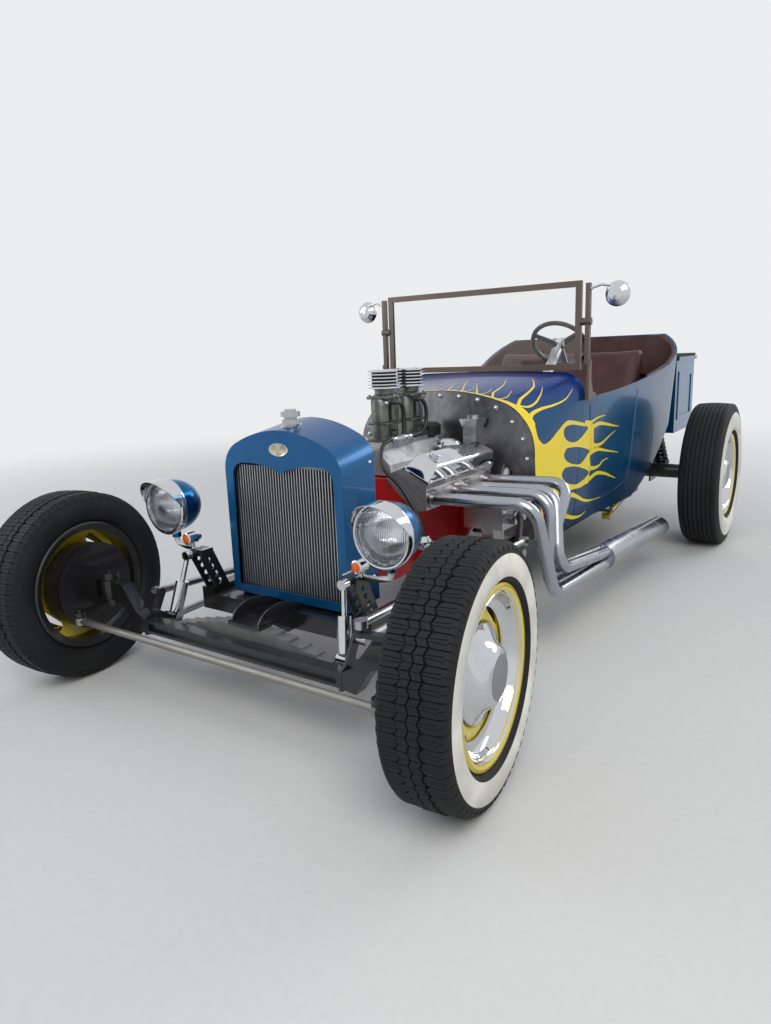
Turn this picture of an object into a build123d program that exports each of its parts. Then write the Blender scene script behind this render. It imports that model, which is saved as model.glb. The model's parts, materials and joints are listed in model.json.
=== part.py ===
from build123d import *

import os
from math import atan2, cos, hypot, radians, sin, tan

# A hot rod roadster pick-up. Millimetres, +Z up, the nose points to -Y and the car's left is +X.
# Stations along Y are counted back from the front axle, and the whole car is centred at the very end.

# Wheels and axles
wheelbase = 2741
front_track = 1513
rear_track = 1578
front_tyre_r = 321
front_tyre_w = 176
rear_tyre_r = 374
rear_tyre_w = 205
rim_seat_r = 203
rim_flange_r = 219
front_rim_w = 124
rear_rim_w = 146
rim_wall = 5
parked_steer_deg = 6
wheel_gap = 0.3

# Steering geometry
kingpin_x = 590
kingpin_r = 14
steer_arm_reach = 136
tie_rod_z = 251
tie_rod_r = 11
drag_arm_reach = 120
drag_link_r = 11
pin_gap = 0.3
seat_gap = 0.3

# Front beam axle and suspension
beam_z = 226
beam_h = 44
beam_w = 60
beam_boss_z = front_tyre_r
beam_boss_h = 64
beam_boss_r = 34
batwing_x = 400
spring_y = 60
spring_z = 238
leaf_t = 7
leaf_w = 45
leaf_drop = 24
spring_eye_z = spring_z - leaf_drop + 4
leaf_halves = (372, 320, 270, 220, 170, 120)
radius_rod_r = 13
radius_rod_end_y = 1180
shock_r = 21
shock_top = (322, 129, 440)
shock_foot = (352, 64, 244)
shock_eye_half = 22

# Frame
rail_x = 330
rail_w = 50
rail_h = 76
rail_top_z = 308
rail_front_y = 190
kick_y = wheelbase - 396
kick_top_z = 520
kick_end_y = wheelbase - 11
rail_end_y = wheelbase + 699
rear_member_y = wheelbase + 194
pad_ys = (1300, 1640, kick_y - 295)

# Radiator
shell_front_y = 233
shell_depth = 165
shell_half_w = 240
shell_bottom_z = 300
shell_side_z = 715
shell_top_z = 846
shell_rise = 26
shell_wall = 5
grille_half_w = 215
grille_bottom_z = 328
grille_side_z = 700
cap_y = 297

# Lamps
lamp_x = 441
lamp_y = 144
lamp_z = 587
lamp_r = 92
signal_x = 349
signal_y = 162
signal_z = 486

# Engine
crank_z = 422
engine_front_y = 645
engine_rear_y = 1135
port_x = 272
port_z = 574
port_ys = (682, 844, 926, 1088)
bank_sin = 0.7071
carb_ys = (816, 986)
carb_z = 745
cleaner_z = 973
cleaner_r = 59
cleaner_h = 68

# Exhaust
pipe_r = 21
pipe_bend = 70
collector_y = 1400
muffler_r = 47
tip_y = wheelbase - 621

# Body
firewall_y = 1230
windshield_y = 1566
body_bottom_z = 318
body_wall = 12
tub_back_y = wheelbase + 269
seat_front_y = tub_back_y - 890
tub_lean_deg = 4
tub_top_z = 1118
cowl_top_z = 968

# Windshield
screen_half_w = 470
screen_low_z = 968.3
screen_high_z = 1322
screen_bar = 24
post_x = screen_half_w + 27

# Bed
bed_front_y = tub_back_y + 25
bed_rear_y = bed_front_y + 465
bed_half_w = 520
bed_bottom_z = 548
bed_top_z = 985
bed_wall = 18

# Rear axle
axle_z = rear_tyre_r
axle_tube_r = 38
diff_r = 135


def bar(start, end, radius):
    """A round bar from one point to another."""
    start = Vector(start)
    end = Vector(end)
    span = end - start
    return Plane(origin=(start + end) / 2, z_dir=span) * Cylinder(radius, span.length)


def tube(points, bends, radius, bore=0):
    """A bent tube along straight runs joined by arcs."""
    path = FilletPolyline(*points, radius=bends)
    section = Plane(origin=path @ 0, z_dir=path % 0) * Circle(radius)
    solid = sweep(section, path=path)
    if bore:
        solid -= sweep(Plane(origin=path @ 0, z_dir=path % 0) * Circle(bore), path=path)
    return solid


def block(low, high):
    """A box between two corners, given in either order."""
    size = [abs(high[i] - low[i]) for i in range(3)]
    centre = [(high[i] + low[i]) / 2 for i in range(3)]
    return Pos(*centre) * Box(*size)


def side_plate(outline, x, thickness):
    """A plate across X, cut to an outline of (y, z) points."""
    plane = Plane(origin=(x - thickness / 2, 0, 0), x_dir=(0, 1, 0), z_dir=(1, 0, 0))
    return extrude(plane * make_face(Polyline(*outline, close=True)), amount=thickness)


def cross_plate(outline, y, thickness):
    """A plate across Y, cut to an outline of (x, z) points."""
    plane = Plane(origin=(0, y + thickness / 2, 0), x_dir=(1, 0, 0), z_dir=(0, -1, 0))
    return extrude(plane * make_face(Polyline(*outline, close=True)), amount=thickness)


def flat_plate(outline, z, thickness):
    """A level plate of an outline of (x, y) points, z at its underside."""
    return extrude(Pos(0, 0, z) * make_face(Polyline(*outline, close=True)), amount=thickness)


def turned_x(profile):
    """A solid of revolution about X from (x, radius) points."""
    return revolve(Plane.XZ * make_face(Polyline(*profile, close=True)), axis=Axis.X)


def turned_z(profile):
    """A solid of revolution about Z from (radius, z) points."""
    return revolve(Plane.XZ * make_face(Polyline(*profile, close=True)), axis=Axis.Z)


def turned_y(profile):
    """A solid of revolution about Y from (radius, y) points."""
    return revolve(Plane.XY * make_face(Polyline(*profile, close=True)), axis=Axis.Y)


def both_sides(solid):
    """The left piece and its mirror image."""
    return [solid, mirror(solid, about=Plane.YZ)]


def group(*pieces):
    """Several solids as one node."""
    solids = []
    for piece in pieces:
        solids.extend(piece if isinstance(piece, list) else [piece])
    return Compound([s for piece in solids for s in piece.solids()])


# Wheels

def tyre(radius, width, seat_half):
    """A tyre about X, its tread a shallow crown and its sidewalls bulged."""
    half = width / 2
    shoulder = (half * 0.86, radius - 11)
    tread = (half * 0.74, radius - 3)
    bulge = (half, rim_seat_r + (radius - rim_seat_r) * 0.52)
    foot = (seat_half, rim_flange_r + 2)
    bead = (seat_half - 1, rim_seat_r)
    inner = (seat_half - 12, rim_seat_r)
    cavity = (half - 16, rim_seat_r + 38)
    roof = (half * 0.66, radius - 20)
    outer = (
        Line((-bead[0], bead[1]), (-foot[0], foot[1]))
        + ThreePointArc((-foot[0], foot[1]), (-bulge[0], bulge[1]), (-shoulder[0], shoulder[1]))
        + Line((-shoulder[0], shoulder[1]), (-tread[0], tread[1]))
        + ThreePointArc((-tread[0], tread[1]), (0, radius), tread)
        + Line(tread, shoulder)
        + ThreePointArc(shoulder, bulge, foot)
        + Line(foot, bead)
    )
    hollow = Polyline(bead, inner, cavity, roof, (-roof[0], roof[1]), (-cavity[0], cavity[1]),
                      (-inner[0], inner[1]), (-bead[0], bead[1]))
    return revolve(Plane.XZ * make_face(outer + hollow), axis=Axis.X)


def wheel(rim_w, drum_in, drum_out):
    """A steel wheel about X: rim, dished disc with windows, hub cap and brake drum. Outboard is +X."""
    half = rim_w / 2
    rim = turned_x((
        (-half - 8, rim_flange_r), (-half, rim_seat_r - 0.3), (half, rim_seat_r - 0.3), (half + 8, rim_flange_r),
        (half + 12, rim_flange_r - 6), (half + 3, rim_seat_r - 12), (-half - 3, rim_seat_r - 12),
        (-half - 12, rim_flange_r - 6)))
    disc = turned_x(((drum_out, 30), (drum_out, 100), (24, 128), (10, rim_seat_r - 8), (16, rim_seat_r - 8),
                     (30, 128), (drum_out + 10, 92), (drum_out + 10, 30)))
    for i in range(4):
        window = Plane(origin=(-20, 0, 158), x_dir=(0, 1, 0), z_dir=(1, 0, 0)) * SlotOverall(110, 34)
        disc -= Rot(i * 90 + 45, 0, 0) * extrude(window, amount=80)
    cap = turned_x(((drum_out + 8, 30), (26, 112), (34, 108), (56, 84), (62, 50), (66, 0), (drum_out + 8, 0)))
    drum = turned_x(((drum_in, 145), (drum_out, 145), (drum_out, 30), (drum_out - 8, 30), (drum_out - 8, 135),
                     (drum_in, 135)))
    return rim + disc + cap + drum


# Steering and front axle

def steered(solid):
    """Turns a left knuckle or wheel about its kingpin to the parked angle."""
    kingpin = Axis((kingpin_x, 0, 0), (0, 0, 1))
    return solid.rotate(kingpin, parked_steer_deg)


def left_to_right(solid):
    """Makes the right-hand piece of a straight-ahead left one."""
    return mirror(solid, about=Plane.YZ)


def steered_right(solid):
    """Turns a right knuckle or wheel about its kingpin to the parked angle."""
    kingpin = Axis((-kingpin_x, 0, 0), (0, 0, 1))
    return solid.rotate(kingpin, parked_steer_deg)


beam_top_z = beam_z + beam_h / 2
boss_top_z = beam_boss_z + beam_boss_h / 2
boss_low_z = beam_boss_z - beam_boss_h / 2
ear_t = 22
ear_gap = 1.0
upper_ear_z = boss_top_z + ear_gap
lower_ear_z = boss_low_z - ear_gap - ear_t
web_x = kingpin_x + beam_boss_r + 5
backing_x = 664
backing_r = 148
front_drum_in = -78
front_drum_out = -10
rear_drum_in = -62
rear_drum_out = -6
spindle_r = 30 - wheel_gap
arm_t = 14
arm_z = tie_rod_z + 15
stud_r = 8


def knuckle_core():
    """The straight-ahead left knuckle: fork, kingpin, spindle, backing plate and tie rod arm."""
    ears = [block((kingpin_x, -28, z), (web_x + 20, 28, z + ear_t)) + Pos(kingpin_x, 0, z + ear_t / 2)
            * Cylinder(28, ear_t) for z in (upper_ear_z, lower_ear_z)]
    web = block((web_x, -28, lower_ear_z), (backing_x, 28, upper_ear_z + ear_t))
    pin = bar((kingpin_x, 0, lower_ear_z - 4), (kingpin_x, 0, upper_ear_z + ear_t + 6), kingpin_r)
    spindle = bar((backing_x - 4, 0, front_tyre_r), (front_track / 2 + front_drum_out + 5, 0, front_tyre_r),
                  spindle_r)
    plate = bar((backing_x, 0, front_tyre_r), (backing_x + 6, 0, front_tyre_r), backing_r)
    arm = block((kingpin_x - 13, -steer_arm_reach, arm_z), (kingpin_x + 13, 0, arm_z + arm_t))
    arm += Pos(kingpin_x, -steer_arm_reach, arm_z + arm_t / 2) * Cylinder(17, arm_t)
    arm += Pos(kingpin_x, -steer_arm_reach, 0) * bar((0, 0, tie_rod_z - 11), (0, 0, arm_z + arm_t + 9), stud_r)
    return ears[0] + ears[1] + web + pin + spindle + plate + arm


drag_arm_z = upper_ear_z + ear_t - arm_t
drag_head_z = drag_arm_z + arm_t + 20
drag_head_h = 22
drag_rise = 1.2
drag_stud_top = drag_head_z - drag_head_h / 2 - drag_rise


def left_knuckle():
    arm = block((kingpin_x - drag_arm_reach, -13, drag_arm_z), (kingpin_x, 13, drag_arm_z + arm_t))
    arm += Pos(kingpin_x - drag_arm_reach, 0, drag_arm_z + arm_t / 2) * Cylinder(17, arm_t)
    arm += bar((kingpin_x - drag_arm_reach, 0, drag_arm_z), (kingpin_x - drag_arm_reach, 0, drag_stud_top), stud_r)
    return steered(knuckle_core() + arm)


def right_knuckle():
    return steered_right(left_to_right(knuckle_core()))


def turned_about(x, reach_x, reach_y):
    """Where a point off a kingpin stands at the parked angle."""
    turn = radians(parked_steer_deg)
    return (x + reach_x * cos(turn) - reach_y * sin(turn), reach_x * sin(turn) + reach_y * cos(turn))


def tie_rod():
    """The rod between both steering arms, with a drilled ball housing at each end."""
    left = turned_about(kingpin_x, 0, -steer_arm_reach)
    right = turned_about(-kingpin_x, 0, -steer_arm_reach)
    rod = bar((left[0] - 12, left[1], tie_rod_z), (right[0] + 12, right[1], tie_rod_z), tie_rod_r)
    for x, y in (left, right):
        rod += Pos(x, y, tie_rod_z) * Cylinder(18, 24)
    for x, y in (left, right):
        rod -= Pos(x, y, tie_rod_z) * Cylinder(stud_r + pin_gap, 40)
    return rod


pitman_pivot = (0, 1010, 462)
pitman_reach = 90
pitman_x = 452
pitman_t = 14
drag_x = kingpin_x - drag_arm_reach
link_eye_w = 24
eye_x = pitman_x + pitman_t / 2 + 1 + link_eye_w / 2
pitman_ratio = drag_arm_reach / pitman_reach
pitman_turn = radians(parked_steer_deg * pitman_ratio)
pitman_end_y = pitman_pivot[1] + pitman_reach * sin(pitman_turn) * -1
pitman_end_z = pitman_pivot[2] - pitman_reach * cos(pitman_turn)


def pitman_arm():
    pivot_y, pivot_z = pitman_pivot[1], pitman_pivot[2]
    across = Rot(0, 90, 0)
    arm = Pos(pitman_x, pivot_y, pivot_z) * across * Cylinder(22, pitman_t)
    arm += Pos(pitman_x, pitman_end_y, pitman_end_z) * across * Cylinder(16, pitman_t)
    web = bar((pitman_x, pivot_y, pivot_z), (pitman_x, pitman_end_y, pitman_end_z), 12)
    arm += web & block((pitman_x - pitman_t / 2, 0, 0), (pitman_x + pitman_t / 2, 2000, 1000))
    arm += bar((pitman_x, pitman_end_y, pitman_end_z), (eye_x + link_eye_w / 2 + 5, pitman_end_y, pitman_end_z), stud_r)
    return arm - bar((pitman_x - 30, pivot_y, pivot_z), (pitman_x + 30, pivot_y, pivot_z), stud_r + 4 + pin_gap)


def drag_link():
    """From the pitman arm forward to a socket that rests over the left knuckle's stud."""
    front = turned_about(kingpin_x, -drag_arm_reach, 0)
    eye = Pos(eye_x, pitman_end_y, pitman_end_z) * Rot(0, 90, 0) * Cylinder(18, link_eye_w)
    rod = bar((eye_x, pitman_end_y, pitman_end_z), (front[0], front[1], drag_head_z), drag_link_r)
    head = Pos(front[0], front[1], drag_head_z) * Cylinder(18, drag_head_h)
    pin_x = eye_x + link_eye_w
    hole = bar((eye_x - link_eye_w, pitman_end_y, pitman_end_z), (pin_x, pitman_end_y, pitman_end_z), stud_r + pin_gap)
    return rod + eye + head - hole


def front_axle():
    """Dropped I-beam: level centre, ends swept up to the kingpin bosses."""
    top = ((-545, boss_top_z), (-500, boss_top_z - 6), (-440, beam_top_z + 20), (-400, beam_top_z),
           (400, beam_top_z), (440, beam_top_z + 20), (500, boss_top_z - 6), (545, boss_top_z), (kingpin_x, boss_top_z))
    low = ((kingpin_x, boss_low_z), (535, boss_low_z), (500, boss_low_z - 14), (450, beam_top_z - beam_h - 6),
           (400, beam_top_z - beam_h), (-400, beam_top_z - beam_h), (-450, beam_top_z - beam_h - 6),
           (-500, boss_low_z - 14), (-535, boss_low_z), (-kingpin_x, boss_low_z))
    beam = cross_plate(((-kingpin_x, boss_top_z), *top, *low), 0, beam_w * 0.7)
    flute = cross_plate(((-385, beam_top_z - 9), (385, beam_top_z - 9), (385, beam_top_z - beam_h + 9),
                         (-385, beam_top_z - beam_h + 9)), 0, 12)
    for side in (-1, 1):
        beam -= Pos(0, side * (beam_w * 0.35 - 6 + 0.01) , 0) * flute
        boss = Pos(side * kingpin_x, 0, beam_boss_z) * Cylinder(beam_boss_r, beam_boss_h)
        beam += boss
        beam -= Pos(side * kingpin_x, 0, beam_boss_z) * Cylinder(kingpin_r + pin_gap, beam_boss_h + 10)
    wing = side_plate(((-22, 196), (22, 190), (70, 196), (86, 214), (86, 232), (40, 262), (70, 318), (64, 334),
                       (44, 334), (4, 262), (-22, 250)), batwing_x, 10)
    wing += bar((shock_foot[0] + shock_eye_half + seat_gap, *shock_foot[1:]), (batwing_x, *shock_foot[1:]), 8)
    wings = both_sides(wing)
    return beam + wings[0] + wings[1]


def leaf(half, low_z, drop):
    """One leaf: a thin arched band across the car."""
    end_z = low_z - drop
    face = make_face(
        ThreePointArc((-half, end_z), (0, low_z), (half, end_z))
        + Line((half, end_z), (half, end_z + leaf_t))
        + ThreePointArc((half, end_z + leaf_t), (0, low_z + leaf_t), (-half, end_z + leaf_t))
        + Line((-half, end_z + leaf_t), (-half, end_z)))
    plane = Plane(origin=(0, spring_y + leaf_w / 2, 0), x_dir=(1, 0, 0), z_dir=(0, -1, 0))
    return extrude(plane * face, amount=leaf_w)


def front_spring():
    """Stacked cross leaves, the main one lowest and longest."""
    bow = leaf_halves[0] ** 2 / leaf_drop
    stack = None
    for i, half in enumerate(leaf_halves):
        piece = leaf(half, spring_z + i * leaf_t, half * half / bow)
        stack = piece if stack is None else stack + piece
    clamp = block((-34, spring_y - leaf_w / 2 - 6, spring_z - 8), (34, spring_y + leaf_w / 2 + 6, spring_z))
    pins = [bar((side * (leaf_halves[0] - 6), spring_y, spring_eye_z), (side * (batwing_x - 5 - seat_gap), spring_y, spring_eye_z), 9)
            for side in (-1, 1)]
    return stack + clamp + pins[0] + pins[1]


def radius_rods():
    """Hairpin rods from the axle brackets back to the rails, two legs to one eye."""
    end = (rail_x + rail_w / 2 + 22, radius_rod_end_y, rail_top_z - 40)
    rods = []
    for side in (-1, 1):
        tip = (side * end[0], end[1], end[2])
        rod = Pos(*tip) * Rot(0, 90, 0) * Cylinder(20, 36)
        for y, z in ((58, 318), (66, 214)):
            rod += bar((side * (batwing_x + 12 + radius_rod_r), y, z), tip, radius_rod_r)
            rod += bar((side * (batwing_x + 5 + seat_gap), y, z), (side * (batwing_x + 38), y, z), radius_rod_r + 2)
        rods.append(rod)
    return rods


def front_shocks():
    """Tubular shocks from the beam up to the pins on the lamp stands."""
    shocks = []
    for side in (-1, 1):
        low = (side * shock_foot[0], *shock_foot[1:])
        high = (side * shock_top[0], shock_top[1] - 16, shock_top[2])
        middle = [(low[i] * 0.42 + high[i] * 0.58) for i in range(3)]
        collar = [(low[i] * 0.92 + high[i] * 0.08) for i in range(3)]
        body = bar(collar, middle, shock_r)
        rod = bar(middle, high, 8)
        eye = Pos(*high) * Rot(90, 0, 0) * Cylinder(15, 22)
        foot = Pos(*low) * Rot(0, 90, 0) * Cylinder(15, 2 * shock_eye_half)
        shocks.append(body + rod + eye + foot)
    return shocks


# Frame

def frame():
    """Two rails with a rear kick-up, cross members, spring perch, lamp bases and shock tower."""
    low_z = rail_top_z - rail_h
    outline = ((rail_front_y, low_z), (kick_y, low_z), (kick_end_y, kick_top_z - rail_h), (rail_end_y, kick_top_z - rail_h),
               (rail_end_y, kick_top_z), (kick_end_y - 20, kick_top_z), (kick_y - 20, rail_top_z), (rail_front_y, rail_top_z))
    rail = side_plate(outline, rail_x, rail_w)
    solid = rail + mirror(rail, about=Plane.YZ)
    inner = rail_x - rail_w / 2 + 1
    for y, depth, z, high in ((rail_front_y, 124, low_z, 56), (1195, 50, low_z, 30), (1740, 50, low_z, 34),
                              (rear_member_y, 40, kick_top_z - rail_h, rail_h), (rail_end_y - 50, 50, kick_top_z - rail_h, rail_h)):
        solid += block((-inner, y, z), (inner, y + depth, z + high))
    solid += spring_perch()
    for side in (-1, 1):
        solid += block((side * rail_x - 20, rear_member_y, kick_top_z - 5),
                       (side * rail_x + 20, rear_member_y + 40, tower_z))
    solid += block((-tower_half, rear_member_y, tower_z - 40), (tower_half, rear_member_y + 40, tower_z))
    for side in (-1, 1):
        solid += bar((side * rail_x, radius_rod_end_y, rail_top_z - 40),
                     (side * (rail_x + rail_w / 2 + 4 - seat_gap), radius_rod_end_y, rail_top_z - 40), 16)
        solid += block((side * (rail_x + 20), ladder_front_y - 22, low_z),
                       (side * (ladder_x + 24), ladder_front_y + 18, low_z + 8))
        for y in pad_ys:
            solid += block((side * rail_x - 22, y, rail_top_z - 1), (side * rail_x + 22, y + 50, body_bottom_z + 2 - seat_gap))
    return solid


tower_z = 655
tower_half = 455
perch_half = 62


def spring_perch():
    """Curved gusset plates that carry the spring clamp ahead of the front cross member."""
    low_z = rail_top_z - rail_h
    top = spring_z + len(leaf_halves) * leaf_t
    outline = ((rail_front_y + 4, low_z + 4), (rail_front_y + 4, 296), (rail_front_y - 24, 292), (rail_front_y - 70, 282),
               (spring_y - leaf_w / 2 - 8, top + 14), (spring_y - leaf_w / 2 - 8, top + seat_gap), (spring_y + leaf_w / 2 + 8, top + seat_gap),
               (rail_front_y - 40, low_z + 4))
    perch = side_plate(outline, perch_half, 6) + side_plate(outline, -perch_half, 6)
    perch += block((-perch_half, spring_y - leaf_w / 2 - 8, top + seat_gap),
                   (perch_half, spring_y + leaf_w / 2 + 8, top + 9))
    return perch


# Radiator

def shell_outline(inset, front):
    """Half-symmetric shell section in (x, z): straight sides and an arched top with a slight peak."""
    rise = 0 if front else shell_rise
    half = shell_half_w - inset
    top = shell_top_z + rise - inset
    side = shell_side_z + rise
    low = shell_bottom_z if inset == 0 else shell_bottom_z - 10
    right = (
        Line((half, low), (half, side))
        + ThreePointArc((half, side), (half * 0.925, side + (top - side) * 0.405), (half * 0.742, side + (top - side) * 0.67))
        + ThreePointArc((half * 0.742, side + (top - side) * 0.67), (half * 0.396, side + (top - side) * 0.9), (0, top))
    )
    left = mirror(right, about=Plane.YZ)
    return make_face(right + left + Line((-half, low), (half, low)))


def across(y):
    """A sketch plane of (x, z) at a station, facing the nose."""
    return Plane(origin=(0, y, 0), x_dir=(1, 0, 0), z_dir=(0, -1, 0))


def grille_opening():
    right = (
        Line((grille_half_w, grille_bottom_z), (grille_half_w - 9, grille_side_z))
        + ThreePointArc((grille_half_w - 9, grille_side_z), (grille_half_w - 24, grille_side_z + 27), (152, grille_side_z + 38))
        + ThreePointArc((152, grille_side_z + 38), (72, grille_side_z + 34), (0, grille_side_z + 12))
    )
    face = make_face(right + mirror(right, about=Plane.YZ)
                     + Line((-grille_half_w, grille_bottom_z), (grille_half_w, grille_bottom_z)))
    return extrude(across(shell_front_y + 10) * face, amount=30)


def radiator_shell():
    rear_y = shell_front_y + shell_depth
    outer = loft([across(shell_front_y) * shell_outline(0, True), across(rear_y) * shell_outline(0, False)], ruled=True)
    inner = loft([across(shell_front_y + shell_wall) * shell_outline(shell_wall, True),
                  across(rear_y + 1) * shell_outline(shell_wall, False)], ruled=True)
    shell = outer - inner - grille_opening()
    neck = Pos(0, cap_y, 872) * Cylinder(20, 40)
    cap = Pos(0, cap_y, 890) * Cylinder(30, 16) + Pos(0, cap_y, 901) * Cylinder(18, 8)
    collar = Pos(0, cap_y, 866) * Cylinder(27, 14)
    return shell + neck + cap + collar


fin_pitch = 11


def radiator_core():
    front = shell_front_y + shell_wall + 8
    half = shell_half_w - shell_wall - 6
    core = block((-half, front + 10, shell_bottom_z + 4), (half, front + 70, shell_side_z + 15))
    snug = shell_half_w - shell_wall - seat_gap
    core += block((-snug, front + 10, shell_bottom_z + 4), (snug, front + 70, shell_side_z - 5))
    count = int(2 * grille_half_w / fin_pitch)
    for i in range(count):
        x = (i - (count - 1) / 2) * fin_pitch
        core += block((x - 1.5, front, grille_bottom_z - 12), (x + 1.5, front + 11, shell_side_z + 15))
    low = rail_top_z - rail_h + 56 + seat_gap
    core += block((-half, front + 14, low), (half, front + 66, shell_bottom_z + 5))
    return core


def fan():
    """Cooling fan on the water pump: hub, pulley and four pitched blades."""
    hub = bar((0, 452, fan_z), (0, 500, fan_z), 30) + bar((0, 478, fan_z), (0, 500, fan_z), 62)
    for i in range(4):
        blade = Pos(0, 459, 0) * Rot(0, 0, 24) * Box(62, 3, 135)
        hub += Pos(0, 0, fan_z) * Rot(0, i * 90 + 20, 0) * Pos(0, 0, 90) * blade
    return hub


fan_z = 520


# Lamps

lamp_depth = 118


def headlamps():
    """Painted bowl with a rolled ring and a visor over the lens."""
    lamps = []
    for side in (-1, 1):
        bowl = turned_y(((0, lamp_y + lamp_depth), (34, lamp_y + lamp_depth - 5), (66, lamp_y + lamp_depth - 28),
                         (84, lamp_y + 55), (lamp_r - 2, lamp_y + 14), (lamp_r + 3, lamp_y + 8), (lamp_r + 3, lamp_y - 14),
                         (lamp_r - 8, lamp_y - 14), (lamp_r - 8, lamp_y - 2), (lamp_r - 8, lamp_y + 10), (78, lamp_y + 52),
                         (0, lamp_y + 100)))
        visor = turned_y(((lamp_r + 4, lamp_y - 14), (lamp_r + 6, lamp_y - 58), (lamp_r + 4, lamp_y - 58),
                          (lamp_r + 1, lamp_y - 14)))
        cut = Plane(origin=(-200, 0, 0), x_dir=(0, 1, 0), z_dir=(1, 0, 0)) * make_face(Polyline(
            (lamp_y - 12, 18), (lamp_y - 90, 95), (lamp_y - 90, -200), (lamp_y - 12, -200), close=True))
        visor -= extrude(cut, amount=400)
        lamp = bowl + visor
        foot = Pos(0, lamp_y + 30, -lamp_r - 6) * Cylinder(15, 24)
        lamps.append(Pos(side * lamp_x, 0, lamp_z) * (lamp + foot))
    return lamps


def headlamp_lenses():
    lenses = []
    for side in (-1, 1):
        glass = turned_y(((0, lamp_y - 22), (40, lamp_y - 18), (72, lamp_y - 8), (lamp_r - 9, lamp_y - 1),
                          (lamp_r - 9, lamp_y + 4), (0, lamp_y + 2)))
        lenses.append(Pos(side * lamp_x, 0, lamp_z) * glass)
    return lenses


def lamp_stands():
    """Drilled bracket pairs off the rails, with the pin for the shock and the arm to the lamp."""
    stands = []
    for side in (-1, 1):
        plates = None
        for x in (292, 340):
            plate = side_plate(((196, rail_top_z), (256, rail_top_z), (190, shock_top[2] + 14),
                                (150, shock_top[2] + 14), (140, shock_top[2] - 14)), x, 5)
            for y, z, r in ((212, 332, 11), (200, 360, 10), (186, 388, 9), (174, 414, 8)):
                plate -= bar((x - 20, y, z), (x + 20, y, z), r)
            plates = plate if plates is None else plates + plate
        head = block((289, 146, shock_top[2] + 2), (343, 194, shock_top[2] + 12))
        head += bar((289.5, 156, shock_top[2] - 4), (342.5, 156, shock_top[2] - 4), 9)
        pin = bar((shock_top[0], 156, shock_top[2]), (shock_top[0], shock_top[1] - 5 + seat_gap, shock_top[2]), 11)
        arm = tube(((330, 176, shock_top[2] + 6), (395, 174, shock_top[2] + 8), (lamp_x, lamp_y + 30, shock_top[2] + 18),
                    (lamp_x, lamp_y + 30, lamp_z - lamp_r - 18)), 16, 9)
        stand = plates + head + pin + arm
        stands.append(stand if side > 0 else left_to_right(stand))
    return stands


def signal_lamps():
    lamps = []
    for side in (-1, 1):
        shell = turned_y(((0, signal_y + 34), (12, signal_y + 30), (20, signal_y + 10), (20, signal_y - 24),
                          (17, signal_y - 26), (0, signal_y - 31)))
        lamps.append(Pos(side * signal_x, 0, signal_z) * shell
                     + bar((side * signal_x, signal_y, signal_z - 18), (side * signal_x, signal_y, shock_top[2] + 12.2), 6))
    return lamps


# Engine

block_half_w = 120
pan_z = 205
deck_reach = 229
head_t = 62
engine_mid_y = (engine_front_y + engine_rear_y) / 2
engine_len = engine_rear_y - engine_front_y


def engine_block():
    """Block with angled decks, front cover, water pump, sump and bellhousing in one casting group."""
    deck = []
    for side in (1, -1):
        low = ((deck_reach + 78) * bank_sin, crank_z + (deck_reach - 78) * bank_sin)
        high = ((deck_reach - 72) * bank_sin, crank_z + (deck_reach + 72) * bank_sin)
        deck.append([(side * low[0], low[1]), (side * high[0], high[1])])
    outline = [(block_half_w, crank_z - 60), (block_half_w + 14, crank_z + 40), deck[0][0], deck[0][1],
               deck[1][1], deck[1][0], (-block_half_w - 14, crank_z + 40), (-block_half_w, crank_z - 60)]
    solid = cross_plate(outline, engine_mid_y, engine_len)
    solid += block((-block_half_w, engine_front_y + 25, pan_z + 60), (block_half_w, engine_rear_y, crank_z - 60))
    solid += block((-105, engine_rear_y - 210, pan_z), (105, engine_rear_y - 20, pan_z + 61))
    solid += bar((0, engine_front_y - 22, crank_z), (0, engine_front_y, crank_z), 105)
    solid += block((-70, engine_front_y - 22, crank_z), (70, engine_front_y, fan_z + 20))
    solid += bar((0, engine_front_y - 60, fan_z), (0, engine_front_y, fan_z), 46)
    solid += bar((0, 500.5, fan_z), (0, engine_front_y - 50, fan_z), 16)
    solid += bar((0, engine_front_y - 62, crank_z), (0, engine_front_y - 20, crank_z), 84)
    solid += bar((0, engine_rear_y - 1, crank_z), (0, engine_rear_y + 30, crank_z), 185)
    for side in (-1, 1):
        solid += block((side * (rail_x - rail_w / 2 - seat_gap), engine_mid_y - 60, rail_top_z - 20),
                       (side * (block_half_w - 5), engine_mid_y - 20, rail_top_z + 30))
    return solid


cover_low = (282, 628)
cover_high = (180, 678)
cover_h = 62
cover_len = 490


def cylinder_heads():
    heads = []
    for side in (1, -1):
        foot_low = ((deck_reach + 78) * bank_sin, crank_z + (deck_reach - 78) * bank_sin)
        foot_high = ((deck_reach - 72) * bank_sin, crank_z + (deck_reach + 72) * bank_sin)
        outline = [(side * x, z) for x, z in (foot_low, (port_x - 0.3, port_z - 36), (port_x - 0.3, port_z + 36),
                                              cover_low, cover_high, (foot_high[0] + 8, foot_high[1] + 18), foot_high)]
        heads.append(cross_plate(outline, engine_mid_y, engine_len - 6))
    return heads


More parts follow.
